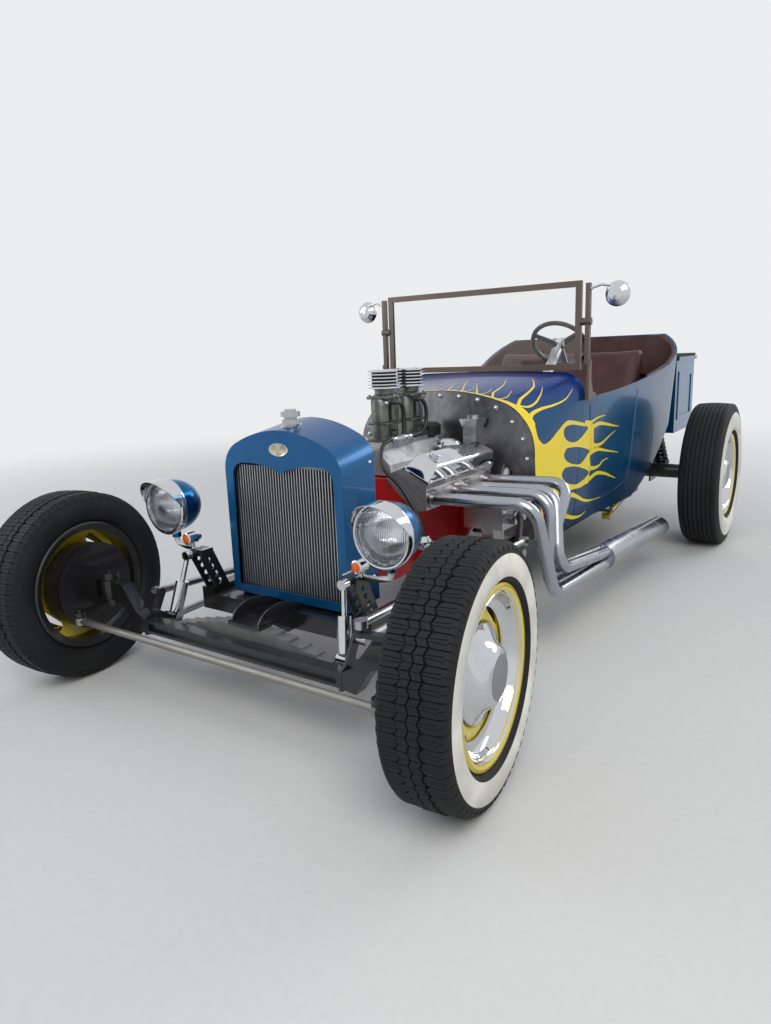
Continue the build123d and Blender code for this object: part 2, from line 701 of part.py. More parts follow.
def valve_covers():
    """Ribbed covers: a trapezoid section on a flange, drawn in along its top."""
    covers = []
    width = hypot(cover_low[0] - cover_high[0], cover_low[1] - cover_high[1])
    mid = ((cover_low[0] + cover_high[0]) / 2, (cover_low[1] + cover_high[1]) / 2)
    rail_turn = atan2(cover_high[1] - cover_low[1], cover_low[0] - cover_high[0])
    for side in (1, -1):
        plane = Plane(origin=(side * mid[0], engine_mid_y, mid[1]),
                      x_dir=(side * cos(rail_turn), 0, -sin(rail_turn)), z_dir=(side * sin(rail_turn), 0, cos(rail_turn)))
        flange = extrude(plane * Rectangle(width, cover_len), amount=5)
        foot = plane.offset(5) * Rectangle(width - 12, cover_len - 12)
        roof = plane.offset(cover_h) * Rectangle(width * 0.66, cover_len - 44)
        cover = flange + loft([foot, roof], ruled=True)
        for i in range(7):
            rib = plane.offset(cover_h) * Pos((i - 3) * 9, 0, 0) * Rectangle(3, cover_len - 130)
            cover += extrude(rib, amount=4)
        cap = plane.offset(cover_h - 1) * Pos(0, -cover_len / 2 + 42, 0) * Circle(17)
        cover += extrude(cap, amount=16)
        covers.append(cover)
    return covers


def intake():
    """Valley manifold with two carburettor pads."""
    top_x = (deck_reach - 72) * bank_sin
    top_z = crank_z + (deck_reach + 72) * bank_sin
    valley = cross_plate(((-top_x - 2, top_z + 6), (top_x + 2, top_z + 6), (top_x - 6, top_z + 44), (54, carb_z - 16),
                          (-54, carb_z - 16), (-top_x + 6, top_z + 44)), engine_mid_y, engine_len - 66)
    solid = valley
    for y in carb_ys:
        solid += block((-46, y - 56, carb_z - 30), (46, y + 56, carb_z))
    return solid


def carburettors():
    """Two upright twin-barrel bodies: base, float bowl, throttle rod lugs and air horn."""
    bodies = []
    neck_z = cleaner_z - cleaner_h / 2
    for y in carb_ys:
        body = block((-42, y - 48, carb_z), (42, y + 48, carb_z + 14))
        body += Pos(0, y, carb_z + 45) * Box(66, 76, 66)
        body += Pos(0, y, carb_z + 86) * Box(58, 88, 30)
        body += Pos(0, y - 50, carb_z + 62) * Cylinder(30, 62)
        body += Pos(0, y, (carb_z + 100 + neck_z) / 2) * Cylinder(33, neck_z - carb_z - 100)
        body += bar((-58, y, carb_z + 24), (58, y, carb_z + 24), 5)
        body += bar((52, y, carb_z + 16), (52, y, carb_z + 46), 4)
        bodies.append(body)
    return bodies


def air_cleaners():
    """Stacked louvre rings between a base and a domed lid."""
    cleaners = []
    for y in carb_ys:
        z = cleaner_z - cleaner_h / 2
        cleaner = turned_z(((0, z), (cleaner_r, z), (cleaner_r, z + 5), (cleaner_r - 14, z + 5),
                            (cleaner_r - 14, z + cleaner_h - 9), (cleaner_r, z + cleaner_h - 9),
                            (cleaner_r, z + cleaner_h - 4), (cleaner_r - 16, z + cleaner_h), (0, z + cleaner_h)))
        for i in range(4):
            level = z + 14 + i * 12
            cleaner += Pos(0, 0, level) * (Cylinder(cleaner_r, 4) - Cylinder(cleaner_r - 15, 6))
        cleaners.append(Pos(0, y, 0) * cleaner)
    return cleaners


def distributor():
    """Distributor and dome breather at the back of the valley."""
    z = crank_z + (deck_reach + 72) * bank_sin + 0.3
    return Pos(0, engine_rear_y - 6, 0) * turned_z(((0, z), (20, z), (22, z + 96), (46, z + 100), (48, z + 138),
                                                    (34, z + 150), (0, z + 150)))


def breather():
    z = 664.8
    return Pos(136, engine_rear_y - 95, 0) * turned_z(((0, z), (12, z), (12, z + 38), (47, z + 40), (50, z + 48), (42, z + 60),
                                                       (24, z + 68), (0, z + 71)))


# Exhaust


def exhaust():
    """Four pipes from one bank out over the rail, down and back into a side muffler."""
    pipes = None
    starts = list(port_ys)
    for i, y in enumerate(starts):
        out_x = (642, 630, 616, 604)[i]
        low_y = (812, 850, 846, 800)[i]
        low_z = (254, 262, 330, 322)[i]
        low_x = (662, 626, 662, 622)[i]
        end_x = (672, 640, 672, 640)[i]
        end_z = (226, 230, 262, 266)[i]
        points = ((port_x + 5, y, port_z), (out_x, y + 4, port_z + 8), (low_x, low_y, low_z), (end_x, collector_y, end_z))
        pipe = tube(points, pipe_bend, pipe_r)
        pipe += bar((port_x, y, port_z), (port_x + 9, y, port_z), pipe_r + 12)
        pipes = pipe if pipes is None else pipes + pipe
    start = (656, collector_y - 60, 247)
    end = (682, tip_y, 214)
    collector = bar(start, (658, collector_y + 60, 244), muffler_r + 3)
    pipes += collector
    muffler = bar((658, collector_y + 50, 244), end, muffler_r)
    muffler -= bar((676, tip_y - 160, 223), (683, tip_y + 40, 212.5), muffler_r - 4)
    slash = Plane(origin=(0, tip_y - 10, 214), z_dir=(0, 1, 0.7))
    muffler = split(muffler, bisect_by=slash, keep=Keep.BOTTOM)
    return both_sides(pipes + muffler)


# Drive line

def gearbox():
    """Bell, gear case and tail housing, then the propeller shaft to the rear axle nose."""
    y = engine_rear_y + 30
    case = turned_y(((0, y), (150, y), (118, y + 60), (104, y + 90), (96, y + 400), (58, y + 430), (50, y + 610), (0, y + 610)))
    nose_y = wheelbase - 235
    case = Pos(0, 0, crank_z) * case
    shaft_start = y + 610
    case += bar((0, shaft_start - 2, crank_z), (0, nose_y, axle_z + 4), 36)
    mount = block((-60, 1745, rail_top_z - rail_h + 34), (60, 1785, crank_z - 20))
    return case + mount


def rear_axle():
    half = rear_track / 2
    plate_x = half + rear_drum_in - 14
    axle = bar((-plate_x, wheelbase, axle_z), (plate_x, wheelbase, axle_z), axle_tube_r)
    carrier = Pos(0, wheelbase, axle_z) * turned_y(((0, -232), (56, -232), (64, -150), (112, -95), (diff_r, 0), (diff_r - 8, 45),
                                                    (96, 90), (0, 104)))
    axle += carrier
    for side in (-1, 1):
        axle += bar((side * plate_x, wheelbase, axle_z), (side * (plate_x + 6), wheelbase, axle_z), backing_r + 6)
        axle += bar((side * plate_x, wheelbase, axle_z), (side * (half + rear_drum_out + 5), wheelbase, axle_z), spindle_r)
        x = side * coil_low_x
        axle += side_plate(((wheelbase - 40, axle_z - 60), (wheelbase + 40, axle_z - 60), (coil_low_y + 26, axle_z - 52),
                            (coil_low_y + 26, axle_z - 14), (wheelbase + 44, axle_z + 10), (wheelbase - 40, axle_z + 44)),
                           x - side * 40, 8)
        axle += bar((x - side * 38, coil_low_y, axle_z - 30), (x + side * 20, coil_low_y, axle_z - 30), 9)
        axle += side_plate(((wheelbase - 96, axle_z - 130), (wheelbase + 36, axle_z - 130), (wheelbase + 42, axle_z + 60),
                            (wheelbase - 42, axle_z + 60), (wheelbase - 96, axle_z + 20)), side * ladder_x, 8)
    return axle


coil_low_x = 520
coil_low_y = wheelbase + 89
coil_top = (430, wheelbase + 214, 624)
ladder_x = 395
ladder_front_y = wheelbase - 519


def coilovers():
    """Coil-over shocks: tube, rod, seats and a helical spring read as turned ribs."""
    units = []
    for side in (-1, 1):
        low = Vector(side * coil_low_x, coil_low_y, axle_z - 30)
        high = Vector(side * coil_top[0], coil_top[1] , coil_top[2] - 45)
        along = (high - low).normalized()
        length = (high - low).length
        plane = Plane(origin=low, z_dir=along)
        core = turned_z(((0, 32), (24, 32), (24, 60), (46, 60), (46, 68), (24, 68), (24, length - 34), (46, length - 34), (46, length - 26), (12, length - 26), (12, length), (0, length)))
        coils = None
        turns = 7
        span = length - 34 - 68
        for i in range(turns):
            ring = Pos(0, 0, 68 + span * (i + 0.5) / turns) * Rot(6, 0, 0) * (Cylinder(44, 9) - Cylinder(23.5, 12))
            coils = ring if coils is None else coils + ring
        body = plane * (core + coils)
        foot = Pos(*low) * Rot(0, 90, 0) * (Cylinder(20, 24) - Cylinder(9.3, 40))
        neck = bar(low + along * 16, low + along * 36, 12)
        units.append(body + foot + neck)
    return units


def ladder_bars():
    """Truss bars from the axle forward to the frame: two tubes, diagonals and end plates."""
    bars = []
    x = ladder_x
    for side in (-1, 1):
        rear_y = wheelbase - 96
        top = ((side * x, ladder_front_y + 14, rail_top_z - rail_h - 22), (side * x, rear_y - 14, axle_z - 20))
        low = ((side * x, ladder_front_y + 14, rail_top_z - rail_h - 30), (side * x, rear_y - 14, axle_z - 112))
        truss = bar(*top, 11) + bar(*low, 11)
        for i in range(3):
            a = 0.35 + i * 0.22
            b = a + 0.11
            pa = [low[0][k] + (low[1][k] - low[0][k]) * a for k in range(3)]
            pb = [top[0][k] + (top[1][k] - top[0][k]) * b for k in range(3)]
            pc = [low[0][k] + (low[1][k] - low[0][k]) * (b + 0.11) for k in range(3)]
            truss += bar(pa, pb, 6) + bar(pb, pc, 6)
        truss += side_plate(((rear_y - 70, axle_z - 132), (rear_y - 0.3, axle_z - 132), (rear_y - 0.3, axle_z + 8),
                             (rear_y - 60, axle_z - 20)), side * x, 12)
        truss += Pos(side * x, ladder_front_y, rail_top_z - rail_h - 26) * Rot(0, 90, 0) * Cylinder(18, 40)
        bars.append(truss)
    return bars


# Body

tub_half_low = 520
cowl_half = 452


def tub_plan(inset, z):
    """The tub's level outline: sides that widen from the cowl, and a back with round corners."""
    half = tub_half_low - inset
    front = cowl_half - inset
    back = tub_back_y - 40 - inset
    corner = 190 - inset
    right = (
        Line((0, windshield_y), (front, windshield_y))
        + ThreePointArc((front, windshield_y), (half - 14, tub_back_y - 830), (half, back - corner))
        + ThreePointArc((half, back - corner), (half - corner * 0.293, back - corner * 0.293), (half - corner, back))
        + Line((half - corner, back), (0, back))
    )
    return Pos(0, 0, z) * make_face(right + mirror(right, about=Plane.YZ))


def side_view(inset, open_top):
    """The tub seen from the side: sill, swept-up tail, high back and dipped door line."""
    low = body_bottom_z + inset
    back = tub_back_y + 60
    sill_end = tub_back_y - 780
    tail_y = tub_back_y - 140
    outline = Line((windshield_y - 1, low), (sill_end, low))
    outline += ThreePointArc((sill_end, low), (tub_back_y - 450 - inset * 0.2, 452 + inset * 0.9),
                             (tail_y - inset * 0.7, 690 + inset * 0.5))
    outline += ThreePointArc((tail_y - inset * 0.7, 690 + inset * 0.5), (tub_back_y - 50, 860), (back, 1010))
    if open_top:
        outline += Polyline((back, 1010), (back, 1400), (windshield_y - 1, 1400), (windshield_y - 1, low))
    else:
        outline += Line((back, 1010), (back, tub_top_z))
        outline += Line((back, tub_top_z), (tub_back_y - 20, tub_top_z))
        outline += ThreePointArc((tub_back_y - 20, tub_top_z), (tub_back_y - 120, 1050), (tub_back_y - 310, 962))
        outline += ThreePointArc((tub_back_y - 310, 962), (tub_back_y - 810, 893), (windshield_y + 74, 852))
        outline += Polyline((windshield_y + 74, 852), (windshield_y - 1, 852), (windshield_y - 1, low))
    plane = Plane(origin=(-800, 0, 0), x_dir=(0, 1, 0), z_dir=(1, 0, 0))
    return extrude(plane * make_face(outline), amount=1600)


def tub_form(inset, open_top):
    prism = extrude(tub_plan(inset, body_bottom_z - 20), amount=1100, taper=-tub_lean_deg)
    return prism & side_view(inset, open_top)


def lean(z):
    """How far the tub's side stands out at a height."""
    return (z - body_bottom_z + 20) * 0.0699


def cowl_section(y, half_low, half_side, side_z, shoulder, crown_half, crown_z, top_z, inset):
    """Cowl section in (x, z): sides, round shoulders and a crowned top."""
    low = body_bottom_z + inset
    mid = (half_side - shoulder * 0.293 + inset * -0.8, side_z + (crown_z - side_z) * 0.707 - inset * 0.6)
    right = (
        Line((half_low - inset, low), (half_side - inset, side_z))
        + ThreePointArc((half_side - inset, side_z), (mid[0], mid[1]), (crown_half - inset * 0.4, crown_z - inset))
        + ThreePointArc((crown_half - inset * 0.4, crown_z - inset), (crown_half / 2, crown_z + (top_z - crown_z) * 0.75 - inset),
                        (0, top_z - inset))
    )
    face = make_face(right + mirror(right, about=Plane.YZ) + Line((-half_low + inset, low), (half_low - inset, low)))
    return across(y) * face


firewall_section = (418, 412, 640, 160, 266, 862, 905)


def cowl_form(inset, front_y, rear_y):
    front = cowl_section(front_y, *firewall_section, inset)
    rear = cowl_section(rear_y, cowl_half, cowl_half + lean(860), 860, 92, 400, cowl_top_z - 8, cowl_top_z, inset)
    return loft([front, rear], ruled=True)


tunnel_half = 135
floor_half = 398
floor_end_y = seat_front_y - 2


def body_tub():
    outer = tub_form(0, False) + cowl_form(0, firewall_y, windshield_y)
    hollow = tub_form(body_wall, True) + cowl_form(body_wall, firewall_y - 1, windshield_y + 2)
    tub = outer - hollow
    underside = block((-floor_half - seat_gap, firewall_y + 22 - seat_gap, body_bottom_z - 10),
                      (floor_half + seat_gap, floor_end_y + seat_gap, body_bottom_z + body_wall + 1))
    tub -= underside
    tub -= block((-tunnel_half - 4, firewall_y - 2, body_bottom_z - 10), (tunnel_half + 4, tub_back_y - 410, body_bottom_z + 300))
    return tub


def floor():
    z = body_bottom_z + body_wall + 1.3
    pan = block((-floor_half, firewall_y + 22, body_bottom_z + 2), (floor_half, floor_end_y, z + 4))
    pan -= block((-tunnel_half, firewall_y, body_bottom_z - 10), (tunnel_half, floor_end_y + 2, z + 10))
    plane_front = across(firewall_y + 22)
    plane_rear = across(floor_end_y)
    top_front = crank_z + 118
    top_rear = 500
    def arch(plane, half, top):
        return plane * make_face(Polyline((-half, body_bottom_z + 2), (-half, top - 60), (-half + 60, top), (half - 60, top),
                                          (half, top - 60), (half, body_bottom_z + 2), close=True))
    tunnel = loft([arch(plane_front, tunnel_half, top_front), arch(plane_rear, tunnel_half, top_rear)], ruled=True)
    tunnel -= loft([arch(across(firewall_y + 21), tunnel_half - 4, top_front - 4),
                    arch(across(floor_end_y + 1), tunnel_half - 4, top_rear - 4)], ruled=True)
    tunnel -= block((-tunnel_half + 4, firewall_y, body_bottom_z), (tunnel_half - 4, floor_end_y + 182, body_bottom_z + 3))
    return pan + tunnel


def firewall():
    """Sheet metal bulkhead on the cowl's front edge, cut away for the gearbox and column."""
    face = cowl_section(firewall_y - 4.3, *firewall_section, 2)
    sheet = extrude(face, amount=-4)
    sheet -= block((-tunnel_half - 20, firewall_y - 40, 200), (tunnel_half + 20, firewall_y + 40, crank_z + 125))
    sheet -= bar((column_x, firewall_y - 60, column_z(firewall_y - 60)), (column_x, firewall_y + 60, column_z(firewall_y + 60)), 34)
    return sheet


def master_cylinder():
    tower = block((150, firewall_y - 92, 700), (206, firewall_y - 22, 770))
    tower += loft([Pos(178, firewall_y - 57, 770) * Rectangle(64, 76), Pos(178, firewall_y - 57, 800) * Rectangle(80, 92)], ruled=True)
    tower += Pos(178, firewall_y - 57, 806) * Cylinder(24, 14)
    tower += block((150, firewall_y - 23, 690), (206, firewall_y - 4.6, 760))
    return tower


# Steering column

wheel_centre = (290, 1800, 1075)
column_x = 290
column_tilt = 41.5


def column_z(y):
    return wheel_centre[2] - (wheel_centre[1] - y) * tan(radians(column_tilt))


def steering_column():
    slope = (0, cos(radians(column_tilt)), sin(radians(column_tilt)))
    top_y = wheel_centre[1] - (39 + seat_gap) * cos(radians(column_tilt))
    tube_bar = bar((column_x, firewall_y - 20, column_z(firewall_y - 20)), (column_x, top_y, column_z(top_y)), 22)
    lower_y = 1090
    tube_bar += bar((column_x, lower_y, column_z(lower_y)), (column_x, firewall_y - 15, column_z(firewall_y - 15)), 10)
    tube_bar += bar((column_x, firewall_y - 60, column_z(firewall_y - 60)), (column_x, firewall_y - 16, column_z(firewall_y - 16)), 28)
    box_low = (240, 968, 408)
    case = block(box_low, (400, 1092, 492))
    case += bar((398, pitman_pivot[1], pitman_pivot[2]), (436, pitman_pivot[1], pitman_pivot[2]), 34)
    case += bar((430, pitman_pivot[1], pitman_pivot[2]), (470, pitman_pivot[1], pitman_pivot[2]), stud_r + 4)
    foot = block((rail_x - 24, 985, rail_top_z + 0.3), (rail_x + 24, 1080, 410))
    return tube_bar + case + foot


def steering_wheel():
    """Small rim on three spokes about a hub."""
    rim = Torus(122, 10)
    hub = Cylinder(24, 26) + Pos(0, 0, 10) * Cylinder(16, 20)
    spokes = None
    for turn in (90, 210, 330):
        spoke = Rot(0, 0, turn) * Pos(68, 0, 0) * Box(110, 26, 5)
        spokes = spoke if spokes is None else spokes + spoke
    stub = Pos(0, 0, -19) * Cylinder(12, 40)
    return wheel_plane() * (rim + hub + spokes + stub)


def wheel_plane():
    tilt = radians(column_tilt)
    return Plane(origin=wheel_centre, x_dir=(1, 0, 0), z_dir=(0, cos(tilt), sin(tilt)))


# Windshield

def windshield_frame():
    """Bronze frame of round-edged bars, outer posts, clamps and curved feet on the cowl corners."""
    bar_w = screen_bar
    clamp_z = (screen_low_z + screen_high_z) / 2 + 15
    y = windshield_y + 2
    frame_solid = block((-screen_half_w, y - 11, screen_low_z), (screen_half_w, y + 11, screen_low_z + bar_w))
    frame_solid += block((-screen_half_w, y - 9, screen_high_z - bar_w), (screen_half_w, y + 9, screen_high_z))
    for side in (-1, 1):
        frame_solid += block((side * (screen_half_w - bar_w) if side > 0 else -screen_half_w, y - 9, screen_low_z),
                             (screen_half_w if side > 0 else -screen_half_w + bar_w, y + 9, screen_high_z))
    frame_solid -= block((-screen_half_w + 12, y - 3.3, screen_low_z + 12), (screen_half_w - 12, y + 3.3, screen_high_z - 12))
    for side in (-1, 1):
        x = side * post_x
        post = block((x - 9, y - 11, 990), (x + 9, y + 11, screen_high_z - 12))
        post += bar((side * (screen_half_w - 4), y, clamp_z), (side * (post_x + 14), y, clamp_z), 15)
        foot = side_plate(((y - 22, 842), (y + 14, 842), (y + 74, 858), (y + 70, 872), (y + 34, 876), (y + 11, 930), (y + 11, 1010),
                           (y - 11, 1010), (y - 18, 930)), side * (post_x + 11), 10)
        frame_solid += post + foot
    return frame_solid


def windshield_glass():
    y = windshield_y + 2
    return block((-screen_half_w + 13, y - 3, screen_low_z + 13), (screen_half_w - 13, y + 3, screen_high_z - 13))


def mirrors():
    units = []
    root_z = screen_high_z - 32
    for side in (-1, 1):
        x = side * (post_x + 14)
        head = (side * (post_x + 111), windshield_y + 10, root_z - 28)
        arm = tube(((x, windshield_y + 2, root_z), (side * (post_x + 51), windshield_y + 2, root_z + 10),
                    (side * (post_x + 93), windshield_y + 2, root_z + 2),
                    (side * (post_x + 109), windshield_y + 6, root_z - 22)), 10, 5)
        bowl = turned_y(((0, -22), (26, -17), (44, -5), (50, 8), (50, 12), (0, 12)))
        root = bar((side * (post_x + 9.3), windshield_y + 2, root_z), (side * (post_x + 18), windshield_y + 2, root_z), 8)
        units.append(arm + root + Pos(*head) * bowl)
    return units


# Cabin

def seat():
    """Bench cushion and squab, plain."""
    cushion = block((-430, seat_front_y, 470), (430, seat_front_y + 440, 600))
    squab_outline = ((seat_front_y + 350, 600 + seat_gap), (seat_front_y + 470, 600 + seat_gap),
                     (seat_front_y + 680, 1040), (seat_front_y + 580, 1050))
    squab = side_plate(squab_outline, 0, 860)
    riser = [block((side * (tunnel_half + 4), seat_front_y + 6, body_bottom_z + body_wall + seat_gap),
                   (side * floor_half, seat_front_y + 26, 470 - seat_gap)) for side in (-1, 1)]
    return cushion + squab, riser


def trim():
    """Upholstered panel that lines the tub's back and corners."""
    inner = tub_form(body_wall + seat_gap, True)
    core = tub_form(body_wall + 16, True)
    shell = inner - core
    keep = block((-700, tub_back_y - 660, 600), (700, tub_back_y + 90, tub_top_z - 6))
    return shell & keep & tub_top_cut()


def tub_top_cut():
    return side_view(0, False)


# Bed

def bed():
    """Short box with a pressed panel in each side and a flat tailgate."""
    low = (-bed_half_w, bed_front_y, bed_bottom_z)
    high = (bed_half_w, bed_rear_y, bed_top_z)
    box = block(low, high)
    box -= block((low[0] + bed_wall, low[1] + bed_wall, low[2] + bed_wall), (high[0] - bed_wall, high[1] - bed_wall, high[2] + 1))
    for side in (-1, 1):
        panel = block((side * bed_half_w - 5, bed_front_y + 60, 620), (side * bed_half_w + 5, bed_rear_y - 60, 900))
        inner = block((side * bed_half_w - 8, bed_front_y + 84, 644), (side * bed_half_w + 8, bed_rear_y - 84, 876))
        box += panel - inner
        box += block((min(side * (bed_half_w - bed_wall), side * (bed_half_w + 14)), bed_front_y, bed_top_z - 22),
                     (max(side * (bed_half_w - bed_wall), side * (bed_half_w + 14)), bed_rear_y, bed_top_z))
    for side in (-1, 1):
        box += block((side * rail_x - 25, bed_front_y + 40, kick_top_z + 0.3), (side * rail_x + 25, bed_rear_y - 80, bed_bottom_z + 1))
    return box


def bed_cover():
    return block((-bed_half_w - 4, bed_front_y - 6, bed_top_z + 0.3), (bed_half_w + 4, bed_rear_y + 4, bed_top_z + 16))


def tail_lamps():
    lamps = []
    for side in (-1, 1):
        lamp = turned_y(((0, 0), (38, 0), (42, 6), (42, 14), (34, 24), (0, 30)))
        lamps.append(Pos(side * 400, bed_rear_y + 0.3, 700) * lamp)
    return lamps


# The whole car

def placed_wheel(solid, side, track, y, radius):
    """Sets a left wheel or its mirror image on its axle."""
    if side < 0:
        solid = mirror(solid, about=Plane.YZ)
    return Pos(side * track / 2, y, radius) * solid


def wheels():
    made = {}
    front = wheel(front_rim_w, front_drum_in, front_drum_out)
    rear = wheel(rear_rim_w, rear_drum_in, rear_drum_out)
    front_rubber = tyre(front_tyre_r, front_tyre_w, front_rim_w / 2)
    rear_rubber = tyre(rear_tyre_r, rear_tyre_w, rear_rim_w / 2)
    for name, side in (("l", 1), ("r", -1)):
        turn = steered if side > 0 else steered_right
        made["wheel_f" + name] = turn(placed_wheel(front, side, front_track, 0, front_tyre_r))
        made["tyre_f" + name] = turn(placed_wheel(front_rubber, side, front_track, 0, front_tyre_r))
        made["wheel_r" + name] = placed_wheel(rear, side, rear_track, wheelbase, rear_tyre_r)
        made["tyre_r" + name] = placed_wheel(rear_rubber, side, rear_track, wheelbase, rear_tyre_r)
    return made


def car():
    nodes = wheels()
    cushions, riser = seat()
    nodes.update({
        "knuckle_l": left_knuckle(), "knuckle_r": right_knuckle(), "tie_rod": tie_rod(),
        "pitman_arm": pitman_arm(), "drag_link": drag_link(), "front_axle": front_axle(),
        "front_spring": front_spring(), "radius_rods": radius_rods(), "front_shocks": front_shocks(),
        "frame": frame(), "radiator_shell": radiator_shell(), "radiator_core": radiator_core(), "fan": fan(),
        "headlamps": headlamps(), "headlamp_lenses": headlamp_lenses(), "lamp_stands": lamp_stands(),
        "signal_lamps": signal_lamps(), "engine_block": engine_block(), "cylinder_heads": cylinder_heads(),
        "valve_covers": valve_covers(), "intake": intake(), "carburettors": carburettors(),
        "air_cleaners": air_cleaners(), "distributor": distributor(), "breather": breather(), "exhaust": exhaust(),
        "gearbox": gearbox(), "rear_axle": rear_axle(), "coilovers": coilovers(), "ladder_bars": ladder_bars(),
        "body_tub": body_tub(), "floor": floor(), "firewall": firewall(), "master_cylinder": master_cylinder(),
        "steering_column": steering_column(), "steering_wheel": steering_wheel(),
        "windshield_frame": windshield_frame(), "windshield_glass": windshield_glass(), "mirrors": mirrors(),
        "seat": cushions, "seat_riser": riser, "trim": trim(), "bed": bed(), "bed_cover": bed_cover(),
        "tail_lamps": tail_lamps(),
    })
    return {name: group(shape) for name, shape in nodes.items()}


def centred(nodes):
    """Moves the whole car so that its origin lies under the middle of its box."""
    boxes = [shape.bounding_box() for shape in nodes.values()]
    middle = (min(box.min.Y for box in boxes) + max(box.max.Y for box in boxes)) / 2
    print("axle station", -middle)
    return {name: Pos(0, -middle, 0) * shape for name, shape in nodes.items()}


os.makedirs("parts", exist_ok=True)
for name, shape in centred(car()).items():
    export_step(shape, "parts/" + name + ".step")
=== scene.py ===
"""Looks of a hot rod roadster pick-up, laid out as an add-on.

Metres, +Z up, the nose points to -Y and the car's left is +X. Stations count back from the front axle.
"""

import json
from math import atan2, cos, pi, radians, sin, sqrt, tau

import bmesh
import bpy
from bpy.props import FloatProperty, FloatVectorProperty, IntProperty, PointerProperty
from mathutils import Matrix, Vector
from mathutils.bvhtree import BVHTree

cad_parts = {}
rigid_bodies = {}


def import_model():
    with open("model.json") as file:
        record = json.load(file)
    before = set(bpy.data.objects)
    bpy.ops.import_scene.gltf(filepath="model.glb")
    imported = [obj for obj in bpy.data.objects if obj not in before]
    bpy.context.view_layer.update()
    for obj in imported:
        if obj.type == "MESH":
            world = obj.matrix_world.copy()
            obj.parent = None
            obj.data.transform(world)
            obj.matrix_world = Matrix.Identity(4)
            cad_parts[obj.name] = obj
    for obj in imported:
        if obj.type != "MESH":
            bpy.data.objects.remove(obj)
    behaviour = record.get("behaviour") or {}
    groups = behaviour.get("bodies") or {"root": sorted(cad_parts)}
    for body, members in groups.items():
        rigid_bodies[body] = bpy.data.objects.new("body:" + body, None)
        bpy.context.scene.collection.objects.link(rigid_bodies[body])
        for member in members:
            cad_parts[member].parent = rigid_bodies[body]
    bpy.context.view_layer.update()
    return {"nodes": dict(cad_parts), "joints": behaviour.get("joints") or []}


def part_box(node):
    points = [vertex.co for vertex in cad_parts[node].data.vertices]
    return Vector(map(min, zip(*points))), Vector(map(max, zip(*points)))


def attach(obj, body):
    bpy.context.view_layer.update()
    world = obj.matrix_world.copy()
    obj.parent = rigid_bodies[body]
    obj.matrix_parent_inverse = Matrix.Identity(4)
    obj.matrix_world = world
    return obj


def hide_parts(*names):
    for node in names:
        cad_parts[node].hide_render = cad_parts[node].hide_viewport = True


bl_info = {
    "name": "Hot Rod Dressing",
    "version": (1, 0, 0),
    "blender": (4, 5, 0),
    "location": "View3D > Sidebar > Hot Rod",
    "description": "Builds the finish and the fine pieces of a hot rod roadster pick-up",
    "category": "Object",
}

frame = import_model()
nodes = frame["nodes"]
MM = 0.001
CORNERS = ("fl", "fr", "rl", "rr")
SIDES = (("l", 1), ("r", -1))


def middle(node):
    """The middle of a node's box."""
    low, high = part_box(node)
    return (low + high) / 2


AXLE_Y = (middle("tyre_fl").y + middle("tyre_fr").y) / 2


def at(x, y, z):
    """A point given in millimetres, y back from the front axle."""
    return Vector((x * MM, y * MM + AXLE_Y, z * MM))


# Places that more than one finish or piece uses, in millimetres

LAMP = (441, 144, 587)
SIGNAL = (349, 162, 486)
CAP_Y = 297
CARBURETTORS = (816, 986)
TEE = (64, 757)
COVER = (231, 890, 653)
COVER_LEAN = atan2(50, 102)


# Sizes and colours that a user would change

def colour(name, value, text):
    """A colour that the panel shows."""
    return FloatVectorProperty(name=name, description=text, subtype="COLOR", size=3, min=0, max=1,
                               default=value)


def length(name, value, text):
    """A length that the panel shows."""
    return FloatProperty(name=name, description=text, unit="LENGTH", default=value)


class HotRodPaint(bpy.types.PropertyGroup):
    """Colours of the paint and trim."""

    body: colour("Body blue", (0.003, 0.098, 0.235), "Base of the pearl blue")
    # The deep blue is painted shade: the cowl top and the shell's upper part go to it.
    top_shade_blue: colour("Deep blue", (0.003, 0.034, 0.22), "Blue of the cowl top")
    shell: colour("Shell blue", (0.002, 0.105, 0.285), "Radiator shell and lamp bowls")
    flame: colour("Flame yellow", (0.86, 0.70, 0.012), "Flames on the body side")
    wheel: colour("Wheel yellow", (0.80, 0.62, 0.008), "Wheel discs and rings")
    chassis: colour("Chassis black", (0.008, 0.008, 0.009), "Frame, axle and brackets")
    engine: colour("Engine red", (0.42, 0.008, 0.012), "Engine block enamel")
    bronze: colour("Windshield bronze", (0.15, 0.12, 0.10), "Windshield frame and stanchions")
    hide: colour("Upholstery", (0.046, 0.015, 0.013), "Leathercloth of the seat and trim")
    whitewall: colour("Whitewall", (0.54, 0.53, 0.48), "Side band of the tyres")
    rubber: colour("Rubber", (0.008, 0.0085, 0.0095), "Tyre tread and sidewall")


class HotRodWheels(bpy.types.PropertyGroup):
    """Sizes of the wheel and tyre dressing."""

    band_in: length("Band inner radius", 0.234, "Inner radius of the whitewall")
    band_out: length("Band outer radius", 0.288, "Outer radius of the whitewall")
    tread_depth: length("Tread depth", 0.007, "Depth of the tread grooves")
    pitches: IntProperty(name="Tread pitches", description="Tread blocks round a front tyre", default=59,
                         min=20)
    ribs: IntProperty(name="Rear ribs", description="Ribs across a rear tyre", default=8, min=3)


class HotRodStage(bpy.types.PropertyGroup):
    """Floor and backdrop."""

    floor: colour("Floor", (0.60, 0.60, 0.59), "Plain pale floor")
    backdrop: colour("Backdrop", (0.84, 0.85, 0.86), "Plain pale background")


# Shader maths as expressions

